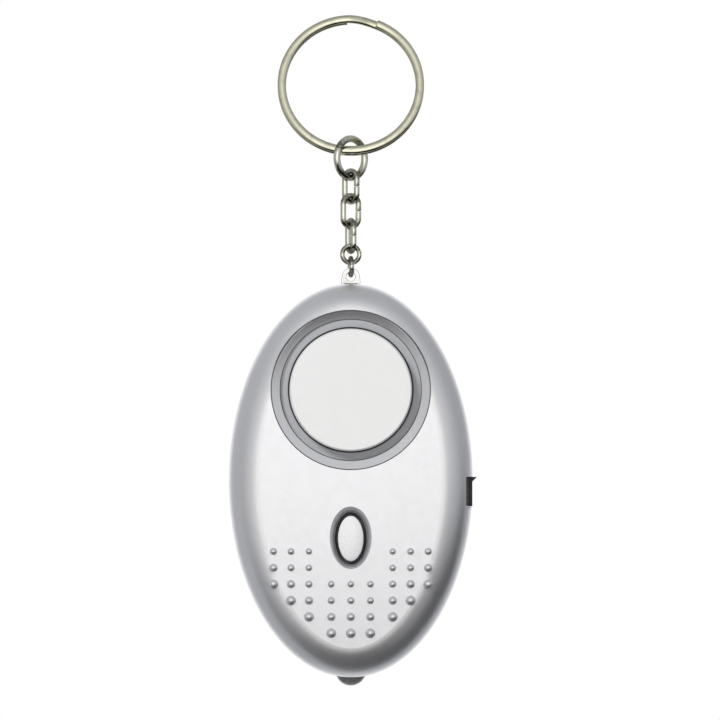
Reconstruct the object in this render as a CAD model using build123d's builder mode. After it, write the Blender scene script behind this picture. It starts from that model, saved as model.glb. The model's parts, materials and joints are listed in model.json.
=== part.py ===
from build123d import *
from math import asin, cos, radians, sin, sqrt, tan
import os

# Personal safety alarm on a key ring: pulling the pin out of the housing starts the siren.
# Millimetres. +Z up, +X to the right, the front of the housing faces -Y. The alarm hangs by its key
# ring, whose eye centre is the origin, and the chain hangs straight down from it.
# Places on the housing are (x, u, t): u is the height above its middle, t the depth towards the front.

os.makedirs("parts", exist_ok=True)

# Housing
body_width = 38.9
body_height = 62.8
front_depth = 9.0
rear_depth = 8.0
edge_round = 5.2
dome_radius = 380.0
wall = 1.6
lip_wall = 0.65
lip_height = 1.2
boss_radius = 2.4
rib_wall = 1.2
seam_bevel = 0.12

half_width = body_width / 2
half_height = body_height / 2

# Clearances
fit_gap = 0.1
slide_gap = 0.15
bore_gap = 0.06
hang_gap = 0.06
overrun = 6.0

# Key ring and chain
ring_outer_radius = 11.75
ring_strip = 1.35
ring_wire = 0.82
coil_gap = 0.05
ring_tilt = 16.5
coil_turns = 1.93
coil_end = 68.0
jump_radius = 3.68
jump_wire = 1.12
link_length = 5.86
link_width = 3.6
link_wire = 0.92
small_radius = 1.74
small_wire = 0.74
end_radius = 1.76
jump_twist = 45.0
link_twists = (-45.0, 26.0, -70.0)
small_twist = 6.0
end_twist = -84.0

# Pull pin
pin_radius = 1.0
pin_engaged = 10.0
eye_plate = 0.8
eye_hole_radius = 0.72
eye_bridge = 0.7
eye_foot_width = 3.2
pin_seat_gap = 0.1
bush_radius = 2.0
bush_flange_radius = 2.8
bush_flange = 0.8
bush_drop = 0.5

# Siren
siren_u_share = 0.4618
siren_u = siren_u_share * half_height
seat_radius = 11.3
siren_floor = 7.2
bezel_width = 1.36
bezel_radius = seat_radius + bezel_width
bezel_step = 0.1
bezel_slope = 24.0
groove_width = 0.16
groove_depth = 0.5
collar_wall = 1.2
collar_radius = seat_radius + collar_wall
collar_bottom = 5.6
cap_gap = 1.56
cap_radius = seat_radius - cap_gap
cap_thickness = 1.1
cap_stand = 0.75
cap_round = 0.3
cap_peg_radius = 0.9
cap_peg_circle = cap_radius - 4.6 * cap_peg_radius
grille_plate = 0.6
moat_gap = 0.28
moat_depth = 0.3
grille_skirt = 0.7
sound_slot_width = 1.3
sound_slot_inset = 0.8
sound_slot_arc = 92.0
piezo_rim = 0.95
piezo_radius = seat_radius - piezo_rim
piezo_thickness = 0.25
piezo_ledge = 0.6
piezo_ledge_height = 0.7
ceramic_share = 0.725
ceramic_radius = ceramic_share * piezo_radius
ceramic_thickness = 0.2
cup_floor = 0.6
cup_wall = 0.7
cup_depth = 1.5

# Light button and its switch
button_u_share = -0.29
button_u = button_u_share * half_height
button_width = 3.8
button_height = 7.0
button_hole_width = 5.0
button_hole_height = 8.3
button_bevel = 0.85
button_flange = 0.55
button_flange_thickness = 0.7
button_travel = 0.4
button_round = 0.35

# Circuit board
board_width = 13.2
board_lap = 1.0
board_back_t = 3.4
board_thickness = 1.0
board_corner = 3.0

# Lamp
lamp_radius = 2.5
lamp_length = 8.6
lamp_proud = 1.45
lamp_flange_radius = 2.9
lamp_flange = 1.0
lead_radius = 0.25
lead_pitch = 2.54

# Batteries, their tray and door
cell_radius = 5.8
cell_length = 5.4
cell_count = 3
battery_u_share = -0.1242
battery_u = battery_u_share * half_height
battery_t = -0.8
tray_wall = 0.7
contact_room = 1.8
door_thickness = 1.2
door_side_margin = 0.2
door_top_margin = 1.6
door_tongue = 3.9
door_screw_margin = 0.4
door_corner = 2.0
door_seat = 0.8
tab_width = 4.7
tab_u_share = -0.0573
tab_u = tab_u_share * half_height
tab_thickness = 0.12
tab_spur = 0.75
tab_notch = 1.1

# Wires
wire_radius = 0.35
wire_bend = 1.4


# Heights along the chain, from the housing up to the key ring
top_u = half_height
pin_foot_u = top_u + pin_seat_gap
eye_u = pin_foot_u + eye_bridge / 2 + eye_hole_radius
eye_top_u = eye_u + eye_hole_radius + eye_bridge
end_u = eye_u + eye_hole_radius - 2 * hang_gap - small_wire + end_radius
small_u = end_u + end_radius - small_wire - hang_gap - small_wire + small_radius
hang_step = link_length - 2 * link_wire - hang_gap
link_3_u = small_u + small_radius - small_wire - hang_gap - link_wire + link_length / 2
link_2_u = link_3_u + hang_step
link_1_u = link_2_u + hang_step
jump_u = link_1_u + link_length / 2 - link_wire - hang_gap - jump_wire + jump_radius

# The jump ring hangs over the tilted, double coil of the key ring
ring_axial = 2 * ring_wire + coil_gap
ring_inner_radius = ring_outer_radius - ring_strip
tilt_cos = cos(radians(ring_tilt))
tilt_sin = sin(radians(ring_tilt))
coil_half_span = ring_axial / 2 / sin(radians(jump_twist))
jump_hole = jump_radius - jump_wire
jump_sag = jump_hole - sqrt(jump_hole**2 - coil_half_span**2)
coil_top = ring_inner_radius * tilt_cos - ring_axial / 2 * tilt_sin
housing_z = -coil_top + jump_sag + 2 * hang_gap - jump_hole - jump_u
chain_y = -(ring_inner_radius + ring_strip / 2) * tilt_sin


def front(t=0.0):
    """A plane facing the viewer; its own x and y are x and u."""
    return Plane(origin=(0, chain_y - t, housing_z), x_dir=(1, 0, 0), z_dir=(0, -1, 0))


def level(u=0.0):
    """A horizontal plane at height u; its own x and y are x and -t."""
    return Plane(origin=(0, chain_y, housing_z + u), x_dir=(1, 0, 0), z_dir=(0, 0, 1))


def across(x=0.0):
    """A plane square to X; its own x and y are u and t."""
    return Plane(origin=(x, chain_y, housing_z), x_dir=(0, 0, 1), z_dir=(1, 0, 0))


def link_plane(u, twist):
    """The vertical plane that a ring or link of the chain lies in."""
    c = cos(radians(twist))
    s = sin(radians(twist))
    return Plane(origin=(0, chain_y, housing_z + u), x_dir=(c, s, 0), z_dir=(s, -c, 0))


def spot(x, u, t):
    """A point of the housing in the part's frame."""
    return Vector(x, chain_y - t, housing_z + u)


def both_sides(x, u):
    return [(-x, u), (x, u)]


def finish(piece, name):
    piece.part.label = name
    export_step(piece.part, f"parts/{name}.step")


# Key ring: one strip wound twice, its ends at the upper right
with BuildPart() as split_ring:
    coil_rise = (ring_wire + coil_gap) * coil_turns
    turn = radians(coil_end - 360 * coil_turns)
    start_dir = (cos(turn), sin(turn) * tilt_sin, sin(turn) * tilt_cos)
    start = Plane(origin=(0, 0, 0), x_dir=start_dir, z_dir=(0, -tilt_cos, tilt_sin)).offset(-coil_rise / 2)
    coil_radius = ring_outer_radius - ring_strip / 2
    coil = start * Helix(pitch=ring_wire + coil_gap, height=coil_rise, radius=coil_radius)
    with BuildSketch(Plane(origin=coil @ 0, x_dir=start.x_dir, z_dir=coil % 0)):
        RectangleRounded(ring_strip, ring_wire, ring_wire * 0.42)
    sweep(path=coil, is_frenet=True)
finish(split_ring, "split_ring")


def chain_ring(name, u, radius, wire, twist):
    with BuildPart(link_plane(u, twist)) as ring:
        Torus(radius - wire / 2, wire / 2)
    finish(ring, name)


chain_ring("jump_ring", jump_u, jump_radius, jump_wire, jump_twist)
chain_ring("small_ring", small_u, small_radius, small_wire, small_twist)
chain_ring("end_ring", end_u, end_radius, small_wire, end_twist)

# Oval chain links
for number, (u, twist) in enumerate(zip((link_1_u, link_2_u, link_3_u), link_twists), start=1):
    arc = (link_width - link_wire) / 2
    rise = (link_length - link_width) / 2
    with BuildPart() as link:
        with BuildLine(link_plane(u, twist)) as oval:
            Line((-arc, -rise), (-arc, rise))
            ThreePointArc((-arc, rise), (0, rise + arc), (arc, rise))
            Line((arc, rise), (arc, -rise))
            ThreePointArc((arc, -rise), (0, -rise - arc), (-arc, -rise))
        with BuildSketch(Plane(origin=oval.line @ 0, z_dir=oval.line % 0)):
            Circle(link_wire / 2)
        sweep(path=oval.wires()[0])
    finish(link, f"link_{number}")

# Pull pin: a flat eye on a round shaft
with BuildPart() as pull_pin:
    with BuildSketch(front(eye_plate / 2)):
        with BuildLine():
            eye_outer = eye_hole_radius + eye_bridge
            foot = eye_foot_width / 2
            Polyline((-eye_outer, eye_u), (-foot, pin_foot_u), (foot, pin_foot_u), (eye_outer, eye_u))
            ThreePointArc((eye_outer, eye_u), (0, eye_top_u), (-eye_outer, eye_u))
        make_face()
        with Locations((0, eye_u)):
            Circle(eye_hole_radius, mode=Mode.SUBTRACT)
    extrude(amount=-eye_plate)
    with BuildSketch(level(pin_foot_u)):
        Circle(pin_radius)
    extrude(amount=-pin_engaged)
    fillet(pull_pin.edges().group_by(Axis.Z)[0], pin_radius * 0.4)
finish(pull_pin, "pull_pin")

# Bush that guides the pin through the seam
bush_bottom_u = top_u - wall - bush_flange - bush_drop
with BuildPart() as pin_bush:
    with BuildSketch(level(bush_bottom_u)):
        Circle(bush_flange_radius)
    extrude(amount=bush_flange)
    with BuildSketch(level(bush_bottom_u)):
        Circle(bush_radius)
    extrude(amount=top_u - bush_bottom_u - 2 * fit_gap)
    with BuildSketch(level(bush_bottom_u)):
        Circle(pin_radius + bore_gap)
    extrude(amount=wall + overrun, mode=Mode.SUBTRACT)
finish(pin_bush, "pin_bush")


def front_half(inset):
    """The domed front half of the body, or what is left inside a wall of that inset."""
    with BuildPart() as half:
        with BuildSketch(front()):
            Ellipse(half_width - inset, half_height - inset)
        extrude(amount=front_depth)
        with Locations(spot(0, 0, front_depth - dome_radius)):
            Sphere(dome_radius - inset, mode=Mode.INTERSECT)
        fillet(half.edges().group_by(Axis.Y)[0], edge_round - inset)
        if inset == 0:
            chamfer(half.edges().group_by(Axis.Y)[-1], seam_bevel)
    return half.part


def rear_half(inset):
    """The flat-backed rear half of the body, or what is left inside a wall of that inset."""
    with BuildPart() as half:
        with BuildSketch(front()):
            Ellipse(half_width - inset, half_height - inset)
        extrude(amount=inset - rear_depth)
        fillet(half.edges().group_by(Axis.Y)[-1], edge_round - inset)
        if inset == 0:
            chamfer(half.edges().group_by(Axis.Y)[0], seam_bevel)
    return half.part


def front_surface(x, u):
    return sqrt(dome_radius**2 - x**2 - u**2) - dome_radius + front_depth


# Places that the two shells share with what they hold
middle_screw_share = (0.73, 0.191)
lower_screw_share = (0.488, -0.653)
screw_places = both_sides(half_width * middle_screw_share[0], half_height * middle_screw_share[1])
screw_places += both_sides(half_width * lower_screw_share[0], half_height * lower_screw_share[1])
screw_shaft_radius = 0.95
screw_head_radius = 1.9
screw_head = 1.4
screw_reach = 4.2
head_sink = 2.2

lamp_tip_u = -half_height - lamp_proud
lamp_base_u = lamp_tip_u + lamp_length
cradle_u = lamp_base_u - lamp_flange - fit_gap

cells_half = cell_length * cell_count / 2
tray_inner_half = cells_half + contact_room
tray_outer_half = tray_inner_half + tray_wall
tray_inner_radius = cell_radius + fit_gap
tray_outer_radius = tray_inner_radius + tray_wall
tab_inner_x = tray_outer_half + tray_wall

board_top_u = battery_u - tray_outer_radius + board_lap
board_bottom_u = edge_round - half_height
board_post_radius = 1.5
board_screw_radius = 0.75
board_screw_inset = 1.7
board_screw_x = board_width / 2 - board_screw_inset
board_screw_places = [
    (-board_screw_x, board_top_u - 2.4 * board_screw_inset),
    (board_screw_x, board_bottom_u + 2 * board_screw_inset),
]
board_front_t = board_back_t + board_thickness

rear_inner_t = wall - rear_depth
door_half = tray_outer_half + door_side_margin
door_top_u = battery_u + tray_outer_radius + door_top_margin
door_bottom_u = battery_u - tray_outer_radius - door_tongue
door_mid_u = (door_top_u + door_bottom_u) / 2
door_height = door_top_u - door_bottom_u
door_inner_t = door_thickness - rear_depth
door_screw_place = (0, door_bottom_u + screw_head_radius + fit_gap + door_screw_margin)
pillar_radius = 2.2

leaf_thickness = 0.2
leaf_width = 3.2
leaf_end_share = 0.8
leaf_end_x = leaf_end_share * half_width
leaf_post_width = 2.4
leaf_post_x = leaf_end_x - leaf_post_width / 2
leaf_face_t = tab_thickness / 2 + fit_gap


def seam_openings():
    """What passes through the seam: the pin bush, the lamp and the battery tab."""
    with BuildPart() as openings:
        with BuildSketch(level(top_u - wall - bush_drop)):
            Circle(bush_radius)
        extrude(amount=overrun)
        with BuildSketch(level(-half_height - overrun)):
            Circle(lamp_radius + bore_gap)
        extrude(amount=overrun + wall + bush_drop)
        with BuildSketch(across(half_width - wall - lip_wall)):
            with Locations((tab_u, 0)):
                Rectangle(tab_width + 2 * slide_gap, tab_thickness + 2 * fit_gap)
        extrude(amount=overrun)
    return openings.part


def finger_notch(height):
    """The notch in the side wall that the end of the battery tab shows in."""
    with BuildPart() as notch:
        with BuildSketch(front(tab_thickness / 2)):
            with Locations((half_width - tab_notch + overrun / 2, tab_u)):
                Rectangle(overrun, tab_width + 2 * slide_gap)
        extrude(amount=height)
    return notch.part


def siren_mouth():
    """The siren's shallow bezel and the fine groove round it, square to the dome there."""
    lean = asin(siren_u / dome_radius)
    touch = spot(0, siren_u, front_surface(0, siren_u))
    sag = dome_radius - sqrt(dome_radius**2 - bezel_radius**2)
    rim = Plane(origin=touch, x_dir=(1, 0, 0), z_dir=(0, -cos(lean), sin(lean))).offset(-sag)
    throat_radius = seat_radius - bezel_step
    fall = (bezel_radius - throat_radius) * tan(radians(bezel_slope))
    with BuildPart() as mouth:
        with BuildSketch(rim.offset(-bezel_step)):
            Circle(bezel_radius)
        with BuildSketch(rim.offset(-bezel_step - fall)):
            Circle(throat_radius)
        loft()
        with BuildSketch(rim.offset(-bezel_step)):
            Circle(bezel_radius)
        extrude(amount=overrun)
        with BuildSketch(rim.offset(-groove_depth)):
            Circle(bezel_radius + groove_width / 2)
            Circle(bezel_radius - groove_width / 2, mode=Mode.SUBTRACT)
        extrude(amount=overrun)
    return mouth.part


def lip_ring(inset, height):
    """The tongue of the rear shell, or the groove that takes it."""
    with BuildPart() as ring:
        with BuildSketch(front()):
            Ellipse(half_width - inset, half_height - inset)
            Ellipse(half_width - wall, half_height - wall, mode=Mode.SUBTRACT)
        extrude(amount=height)
    return ring.part


def front_cavity():
    """The hollow of the front shell, with its posts and the collar of the siren left standing."""
    with BuildPart() as cavity:
        add(front_half(wall))
        with BuildSketch(front()):
            with Locations(*screw_places):
                Circle(boss_radius)
        extrude(amount=front_depth, mode=Mode.SUBTRACT)
        with BuildSketch(front(board_front_t)):
            with Locations(*board_screw_places):
                Circle(board_post_radius)
        extrude(amount=front_depth, mode=Mode.SUBTRACT)
        with BuildSketch(front(collar_bottom)):
            with Locations((0, siren_u)):
                Circle(collar_radius)
        extrude(amount=front_depth, mode=Mode.SUBTRACT)
        with BuildSketch(front(leaf_face_t + leaf_thickness)):
            with Locations((leaf_post_x, tab_u)):
                Rectangle(leaf_post_width, leaf_width)
        extrude(amount=front_depth, mode=Mode.SUBTRACT)
    return cavity.part


bump_column_shares = (0.0, 0.16, 0.342, 0.488, 0.632)
bump_first_rows = (3, 3, 1, 1, 1)
bump_last_rows = (6, 6, 5, 4, 3)
bump_top_share = 0.355
bump_pitch_share = 0.0828
bump_radius = 0.8
bump_size_shares = (1.0, 0.85, 0.74, 0.7, 0.66)
bump_sink_share = 0.12

# Front shell: siren seat, light button hole and the grip bumps
with BuildPart() as front_shell:
    add(front_half(0))
    add(front_cavity(), mode=Mode.SUBTRACT)
    add(lip_ring(wall - lip_wall - fit_gap, lip_height + fit_gap), mode=Mode.SUBTRACT)
    add(siren_mouth(), mode=Mode.SUBTRACT)
    with BuildSketch(front()):
        with Locations((0, siren_u)):
            Circle(seat_radius)
    extrude(amount=siren_floor + overrun, mode=Mode.SUBTRACT)
    bevel_t = front_surface(0, button_u) - button_bevel
    with BuildSketch(front(bevel_t)):
        with Locations((0, button_u)):
            Ellipse(button_hole_width / 2, button_hole_height / 2)
    with BuildSketch(front(front_depth)):
        with Locations((0, button_u)):
            grow = front_depth - bevel_t
            Ellipse(button_hole_width / 2 + grow, button_hole_height / 2 + grow)
    loft(mode=Mode.SUBTRACT)
    with BuildSketch(front(bevel_t)):
        with Locations((0, button_u)):
            Ellipse(button_hole_width / 2, button_hole_height / 2)
    extrude(amount=-overrun / 2, mode=Mode.SUBTRACT)
    add(seam_openings(), mode=Mode.SUBTRACT)
    with BuildSketch(front(collar_bottom)):
        with Locations((0, siren_u)):
            Circle(collar_radius)
    extrude(amount=-collar_bottom, mode=Mode.SUBTRACT)
    with BuildSketch(front(board_front_t)):
        with Locations((0, (board_top_u + board_bottom_u) / 2)):
            RectangleRounded(board_width, board_top_u - board_bottom_u, board_corner)
    extrude(amount=-board_front_t, mode=Mode.SUBTRACT)
    add(finger_notch(front_depth), mode=Mode.SUBTRACT)
    with BuildSketch(front()):
        with Locations(*screw_places):
            Circle(screw_shaft_radius)
    extrude(amount=screw_reach + fit_gap, mode=Mode.SUBTRACT)
    with BuildSketch(front(board_front_t)):
        with Locations(*board_screw_places):
            Circle(board_screw_radius)
    extrude(amount=2 * board_screw_radius + fit_gap, mode=Mode.SUBTRACT)
    for share, first, last in zip(bump_column_shares, bump_first_rows, bump_last_rows):
        for row in range(first, last + 1):
            x = share * half_width
            u = -half_height * (bump_top_share + bump_pitch_share * (row - 1))
            radius = bump_radius * bump_size_shares[last - row]
            t = front_surface(x, u) - bump_sink_share * radius
            with Locations(*[spot(side * x, u, t) for side in ((-1, 1) if share else (1,))]):
                Sphere(radius)
finish(front_shell, "front_shell")


def rear_cavity():
    """The hollow of the rear shell, with its posts and lamp cradle left standing."""
    with BuildPart() as cavity:
        add(rear_half(wall))
        with BuildSketch(front()):
            with Locations(*screw_places):
                Circle(boss_radius)
        extrude(amount=-rear_depth, mode=Mode.SUBTRACT)
        with BuildSketch(front(-leaf_face_t - leaf_thickness)):
            with Locations((leaf_post_x, tab_u)):
                Rectangle(leaf_post_width, leaf_width)
        extrude(amount=-rear_depth, mode=Mode.SUBTRACT)
        with BuildSketch(front(-block_depth / 2)):
            with Locations((0, block_u)):
                Rectangle(block_width, rib_wall)
                Rectangle(rib_wall, block_height)
        extrude(amount=-rear_depth, mode=Mode.SUBTRACT)
        with BuildSketch(front()):
            with Locations((0, cradle_u - rib_wall / 2)):
                Rectangle(4 * lamp_radius, rib_wall)
        extrude(amount=-rear_depth, mode=Mode.SUBTRACT)
    return cavity.part


# Switch block beside the pin, and the two leaves that close when the pin is out
block_width = 9.2
block_depth = 6.2
block_height = 7.4
block_u = top_u - pin_engaged - pin_radius / 2
leaf_gap = 0.12
leaf_tail = 1.2
slot_depth = 4.4
leaf_outer_x = pin_radius + leaf_gap + leaf_thickness
with BuildPart() as switch_block:
    with BuildSketch(level(block_u - block_height / 2)):
        Rectangle(block_width, block_depth)
        Rectangle(2 * leaf_outer_x, slot_depth, mode=Mode.SUBTRACT)
    extrude(amount=block_height)
finish(switch_block, "switch_block")

for number, side in enumerate((-1, 1), start=1):
    with BuildPart() as pin_leaf:
        with BuildSketch(level(block_u - block_height / 2 - leaf_tail)):
            with Locations((side * (leaf_outer_x - leaf_thickness / 2), 0)):
                Rectangle(leaf_thickness, slot_depth - 2 * fit_gap)
        extrude(amount=block_height + leaf_tail)
    finish(pin_leaf, f"pin_leaf_{number}")

# Rear shell: battery opening, screw wells and the tongue of the seam
with BuildPart() as rear_shell:
    add(rear_half(0))
    add(rear_cavity(), mode=Mode.SUBTRACT)
    add(lip_ring(wall - lip_wall, lip_height))
    with BuildSketch(front()):
        with Locations(*screw_places):
            Circle(screw_shaft_radius + fit_gap)
    extrude(amount=-rear_depth, mode=Mode.SUBTRACT)
    with BuildSketch(front(-rear_depth)):
        with Locations(*screw_places):
            Circle(screw_head_radius + fit_gap)
    extrude(amount=head_sink, mode=Mode.SUBTRACT)
    with BuildSketch(front(-rear_depth)):
        with Locations((0, door_mid_u)):
            gap = slide_gap
            RectangleRounded(2 * (door_half + gap), door_height + 2 * gap, door_corner + gap)
    extrude(amount=wall + fit_gap, mode=Mode.SUBTRACT)
    with BuildSketch(level(lamp_base_u)):
        Circle(lamp_radius)
    extrude(amount=-lamp_length, mode=Mode.SUBTRACT)
    add(seam_openings(), mode=Mode.SUBTRACT)
    add(finger_notch(front_depth), mode=Mode.SUBTRACT)
finish(rear_shell, "rear_shell")

# Siren cap on three pegs over the sound slots
cap_back_t = siren_floor + cap_stand
with BuildPart() as siren_cap:
    with BuildSketch(front(cap_back_t)):
        with Locations((0, siren_u)):
            Circle(cap_radius)
    extrude(amount=cap_thickness)
    fillet(siren_cap.edges().group_by(Axis.Y)[0], cap_round)
    with BuildSketch(front(cap_back_t)):
        with Locations((0, siren_u)):
            with PolarLocations(cap_peg_circle, 3, start_angle=90):
                Circle(cap_peg_radius)
    extrude(amount=-cap_stand - grille_plate)
finish(siren_cap, "siren_cap")

# Sound slots round the pegs, under the edge of the cap
with BuildPart() as siren_grille:
    skirt_radius = seat_radius - fit_gap
    with BuildSketch(front(collar_bottom - grille_plate)):
        with Locations((0, siren_u)):
            Circle(collar_radius)
    extrude(amount=grille_plate)
    with BuildSketch(front(collar_bottom)):
        with Locations((0, siren_u)):
            Circle(skirt_radius)
    extrude(amount=siren_floor - collar_bottom)
    with BuildSketch(front(collar_bottom - grille_plate)):
        with Locations((0, siren_u)):
            Circle(skirt_radius - grille_skirt)
    extrude(amount=siren_floor - collar_bottom - piezo_ledge_height, mode=Mode.SUBTRACT)
    with BuildSketch(front(collar_bottom)):
        with Locations((0, siren_u)):
            Circle(skirt_radius - grille_skirt - piezo_ledge)
    extrude(amount=siren_floor - collar_bottom - grille_plate, mode=Mode.SUBTRACT)
    with BuildSketch(front(siren_floor)):
        with Locations((0, siren_u)):
            Circle(cap_radius + moat_gap)
    extrude(amount=-moat_depth, mode=Mode.SUBTRACT)
    slot_radius = cap_radius - sound_slot_inset - sound_slot_width / 2
    with BuildSketch(front(siren_floor)):
        with Locations((0, siren_u)):
            with PolarLocations(0, 3, start_angle=30):
                slot_arc = CenterArc((0, 0), slot_radius, 0, sound_slot_arc, mode=Mode.PRIVATE)
                SlotArc(slot_arc, sound_slot_width)
            with PolarLocations(cap_peg_circle, 3, start_angle=90):
                Circle(cap_peg_radius)
    extrude(amount=-grille_plate, mode=Mode.SUBTRACT)
finish(siren_grille, "siren_grille")

# Sounder disc, seated on the grille's ledge
piezo_t = siren_floor - piezo_ledge_height - grille_plate
with BuildPart() as piezo_disc:
    with BuildSketch(front(piezo_t)):
        with Locations((0, siren_u)):
            Circle(piezo_radius)
    extrude(amount=-piezo_thickness)
finish(piezo_disc, "piezo_disc")

with BuildPart() as piezo_ceramic:
    with BuildSketch(front(piezo_t - piezo_thickness)):
        with Locations((0, siren_u)):
            Circle(ceramic_radius)
    extrude(amount=-ceramic_thickness)
finish(piezo_ceramic, "piezo_ceramic")

# Back cup: closes the siren and clamps the disc's rim
cup_seat_t = collar_bottom - grille_plate
cup_rim_t = piezo_t - piezo_thickness
with BuildPart() as siren_back_cup:
    with BuildSketch(front(cup_seat_t)):
        with Locations((0, siren_u)):
            Circle(collar_radius)
    extrude(amount=-cup_floor)
    with BuildSketch(front(cup_rim_t)):
        with Locations((0, siren_u)):
            Circle(piezo_radius)
    extrude(amount=-cup_depth - cup_floor)
    with BuildSketch(front(cup_rim_t)):
        with Locations((0, siren_u)):
            Circle(piezo_radius - cup_wall)
    extrude(amount=-cup_depth, mode=Mode.SUBTRACT)
finish(siren_back_cup, "siren_back_cup")
cup_back_t = cup_rim_t - cup_depth - cup_floor

# Circuit board and what is soldered to it
with BuildPart() as circuit_board:
    with BuildSketch(front(board_back_t)):
        with Locations((0, (board_top_u + board_bottom_u) / 2)):
            RectangleRounded(board_width, board_top_u - board_bottom_u, board_corner)
        with Locations(*board_screw_places):
            Circle(board_screw_radius + fit_gap, mode=Mode.SUBTRACT)
    extrude(amount=board_thickness)
finish(circuit_board, "circuit_board")

chip_radius = 2.8
transistor_size = 2.9
transistor_height = 1.3
chip_height = 1.1
chip_u = (board_top_u + board_bottom_u) / 2
with BuildPart() as sound_chip:
    with BuildSketch(front(board_front_t)):
        with Locations((0, chip_u)):
            Circle(chip_radius)
    extrude(amount=chip_height)
    fillet(sound_chip.edges().group_by(Axis.Y)[0], chip_height * 0.8)
finish(sound_chip, "sound_chip")

coil_radius_outer = 1.8
coil_height = 3.2
coil_place = (-lead_pitch / 2 - 2 * lead_radius - coil_radius_outer, lamp_base_u + 2 * coil_radius_outer)
with BuildPart() as step_up_coil:
    with BuildSketch(front(board_back_t)):
        with Locations(coil_place):
            Circle(coil_radius_outer)
    extrude(amount=-coil_height)
    with BuildSketch(front(board_back_t - coil_height * 0.2)):
        with Locations(coil_place):
            Circle(coil_radius_outer)
            Circle(coil_radius_outer * 0.85, mode=Mode.SUBTRACT)
    extrude(amount=-coil_height * 0.6, mode=Mode.SUBTRACT)
finish(step_up_coil, "step_up_coil")

with BuildPart() as transistor:
    with BuildSketch(front(board_back_t)):
        with Locations((board_width / 4, chip_u)):
            Rectangle(transistor_size, transistor_size / 2)
    extrude(amount=-transistor_height)
finish(transistor, "transistor")

# Tact switch: its plunger rides on the light button
switch_height = 1.4
switch_length = 6.0
switch_width = 3.0
plunger_radius = 0.75
switch_u = board_top_u - switch_width / 2 - fit_gap
button_back_t = board_front_t + switch_height + button_travel + 2 * fit_gap
with BuildPart() as tact_switch:
    with BuildSketch(front(board_front_t)):
        with Locations((0, switch_u)):
            Rectangle(switch_length, switch_width)
    extrude(amount=switch_height)
    with BuildSketch(front(board_front_t + fit_gap)):
        with Locations((0, switch_u)):
            Circle(plunger_radius + fit_gap)
    extrude(amount=switch_height, mode=Mode.SUBTRACT)
finish(tact_switch, "tact_switch")

with BuildPart() as switch_plunger:
    with BuildSketch(front(button_back_t)):
        with Locations((0, switch_u)):
            Circle(plunger_radius)
    extrude(amount=board_front_t + 2 * fit_gap + button_travel - button_back_t)
finish(switch_plunger, "switch_plunger")

button_proud = 0.05
with BuildPart() as light_button:
    with BuildSketch(front(button_back_t)):
        with Locations((0, button_u)):
            Ellipse(button_width / 2, button_height / 2)
    extrude(amount=front_surface(0, button_u) + button_proud - button_back_t)
    fillet(light_button.edges().group_by(Axis.Y)[0], button_round)
    with BuildSketch(front(button_back_t)):
        with Locations((0, button_u)):
            Ellipse(button_hole_width / 2 + button_flange, button_hole_height / 2 + button_flange)
    extrude(amount=button_flange_thickness)
finish(light_button, "light_button")

# Lamp: a domed round lamp that shows below the housing
with BuildPart() as led_lamp:
    with BuildSketch(level(lamp_base_u)):
        Circle(lamp_flange_radius)
    extrude(amount=-lamp_flange)
    with BuildSketch(level(lamp_base_u)):
        Circle(lamp_radius)
    extrude(amount=-lamp_length + lamp_radius)
    with Locations(spot(0, lamp_tip_u + lamp_radius, 0)):
        Sphere(lamp_radius)
finish(led_lamp, "led_lamp")

lead_reach = 2.2
lead_bend_u = lamp_base_u + lead_reach
for number, side in enumerate((-1, 1), start=1):
    with BuildPart() as led_lead:
        with BuildLine() as lead_line:
            x = side * lead_pitch / 2
            FilletPolyline(
                spot(x, lamp_base_u, 0),
                spot(x, lead_bend_u, 0),
                spot(x, lead_bend_u, board_back_t),
                radius=3 * lead_radius,
            )
        with BuildSketch(level(lamp_base_u)):
            with Locations((x, 0)):
                Circle(lead_radius)
        sweep(path=lead_line.wires()[0])
    finish(led_lead, f"led_lead_{number}")

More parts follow.
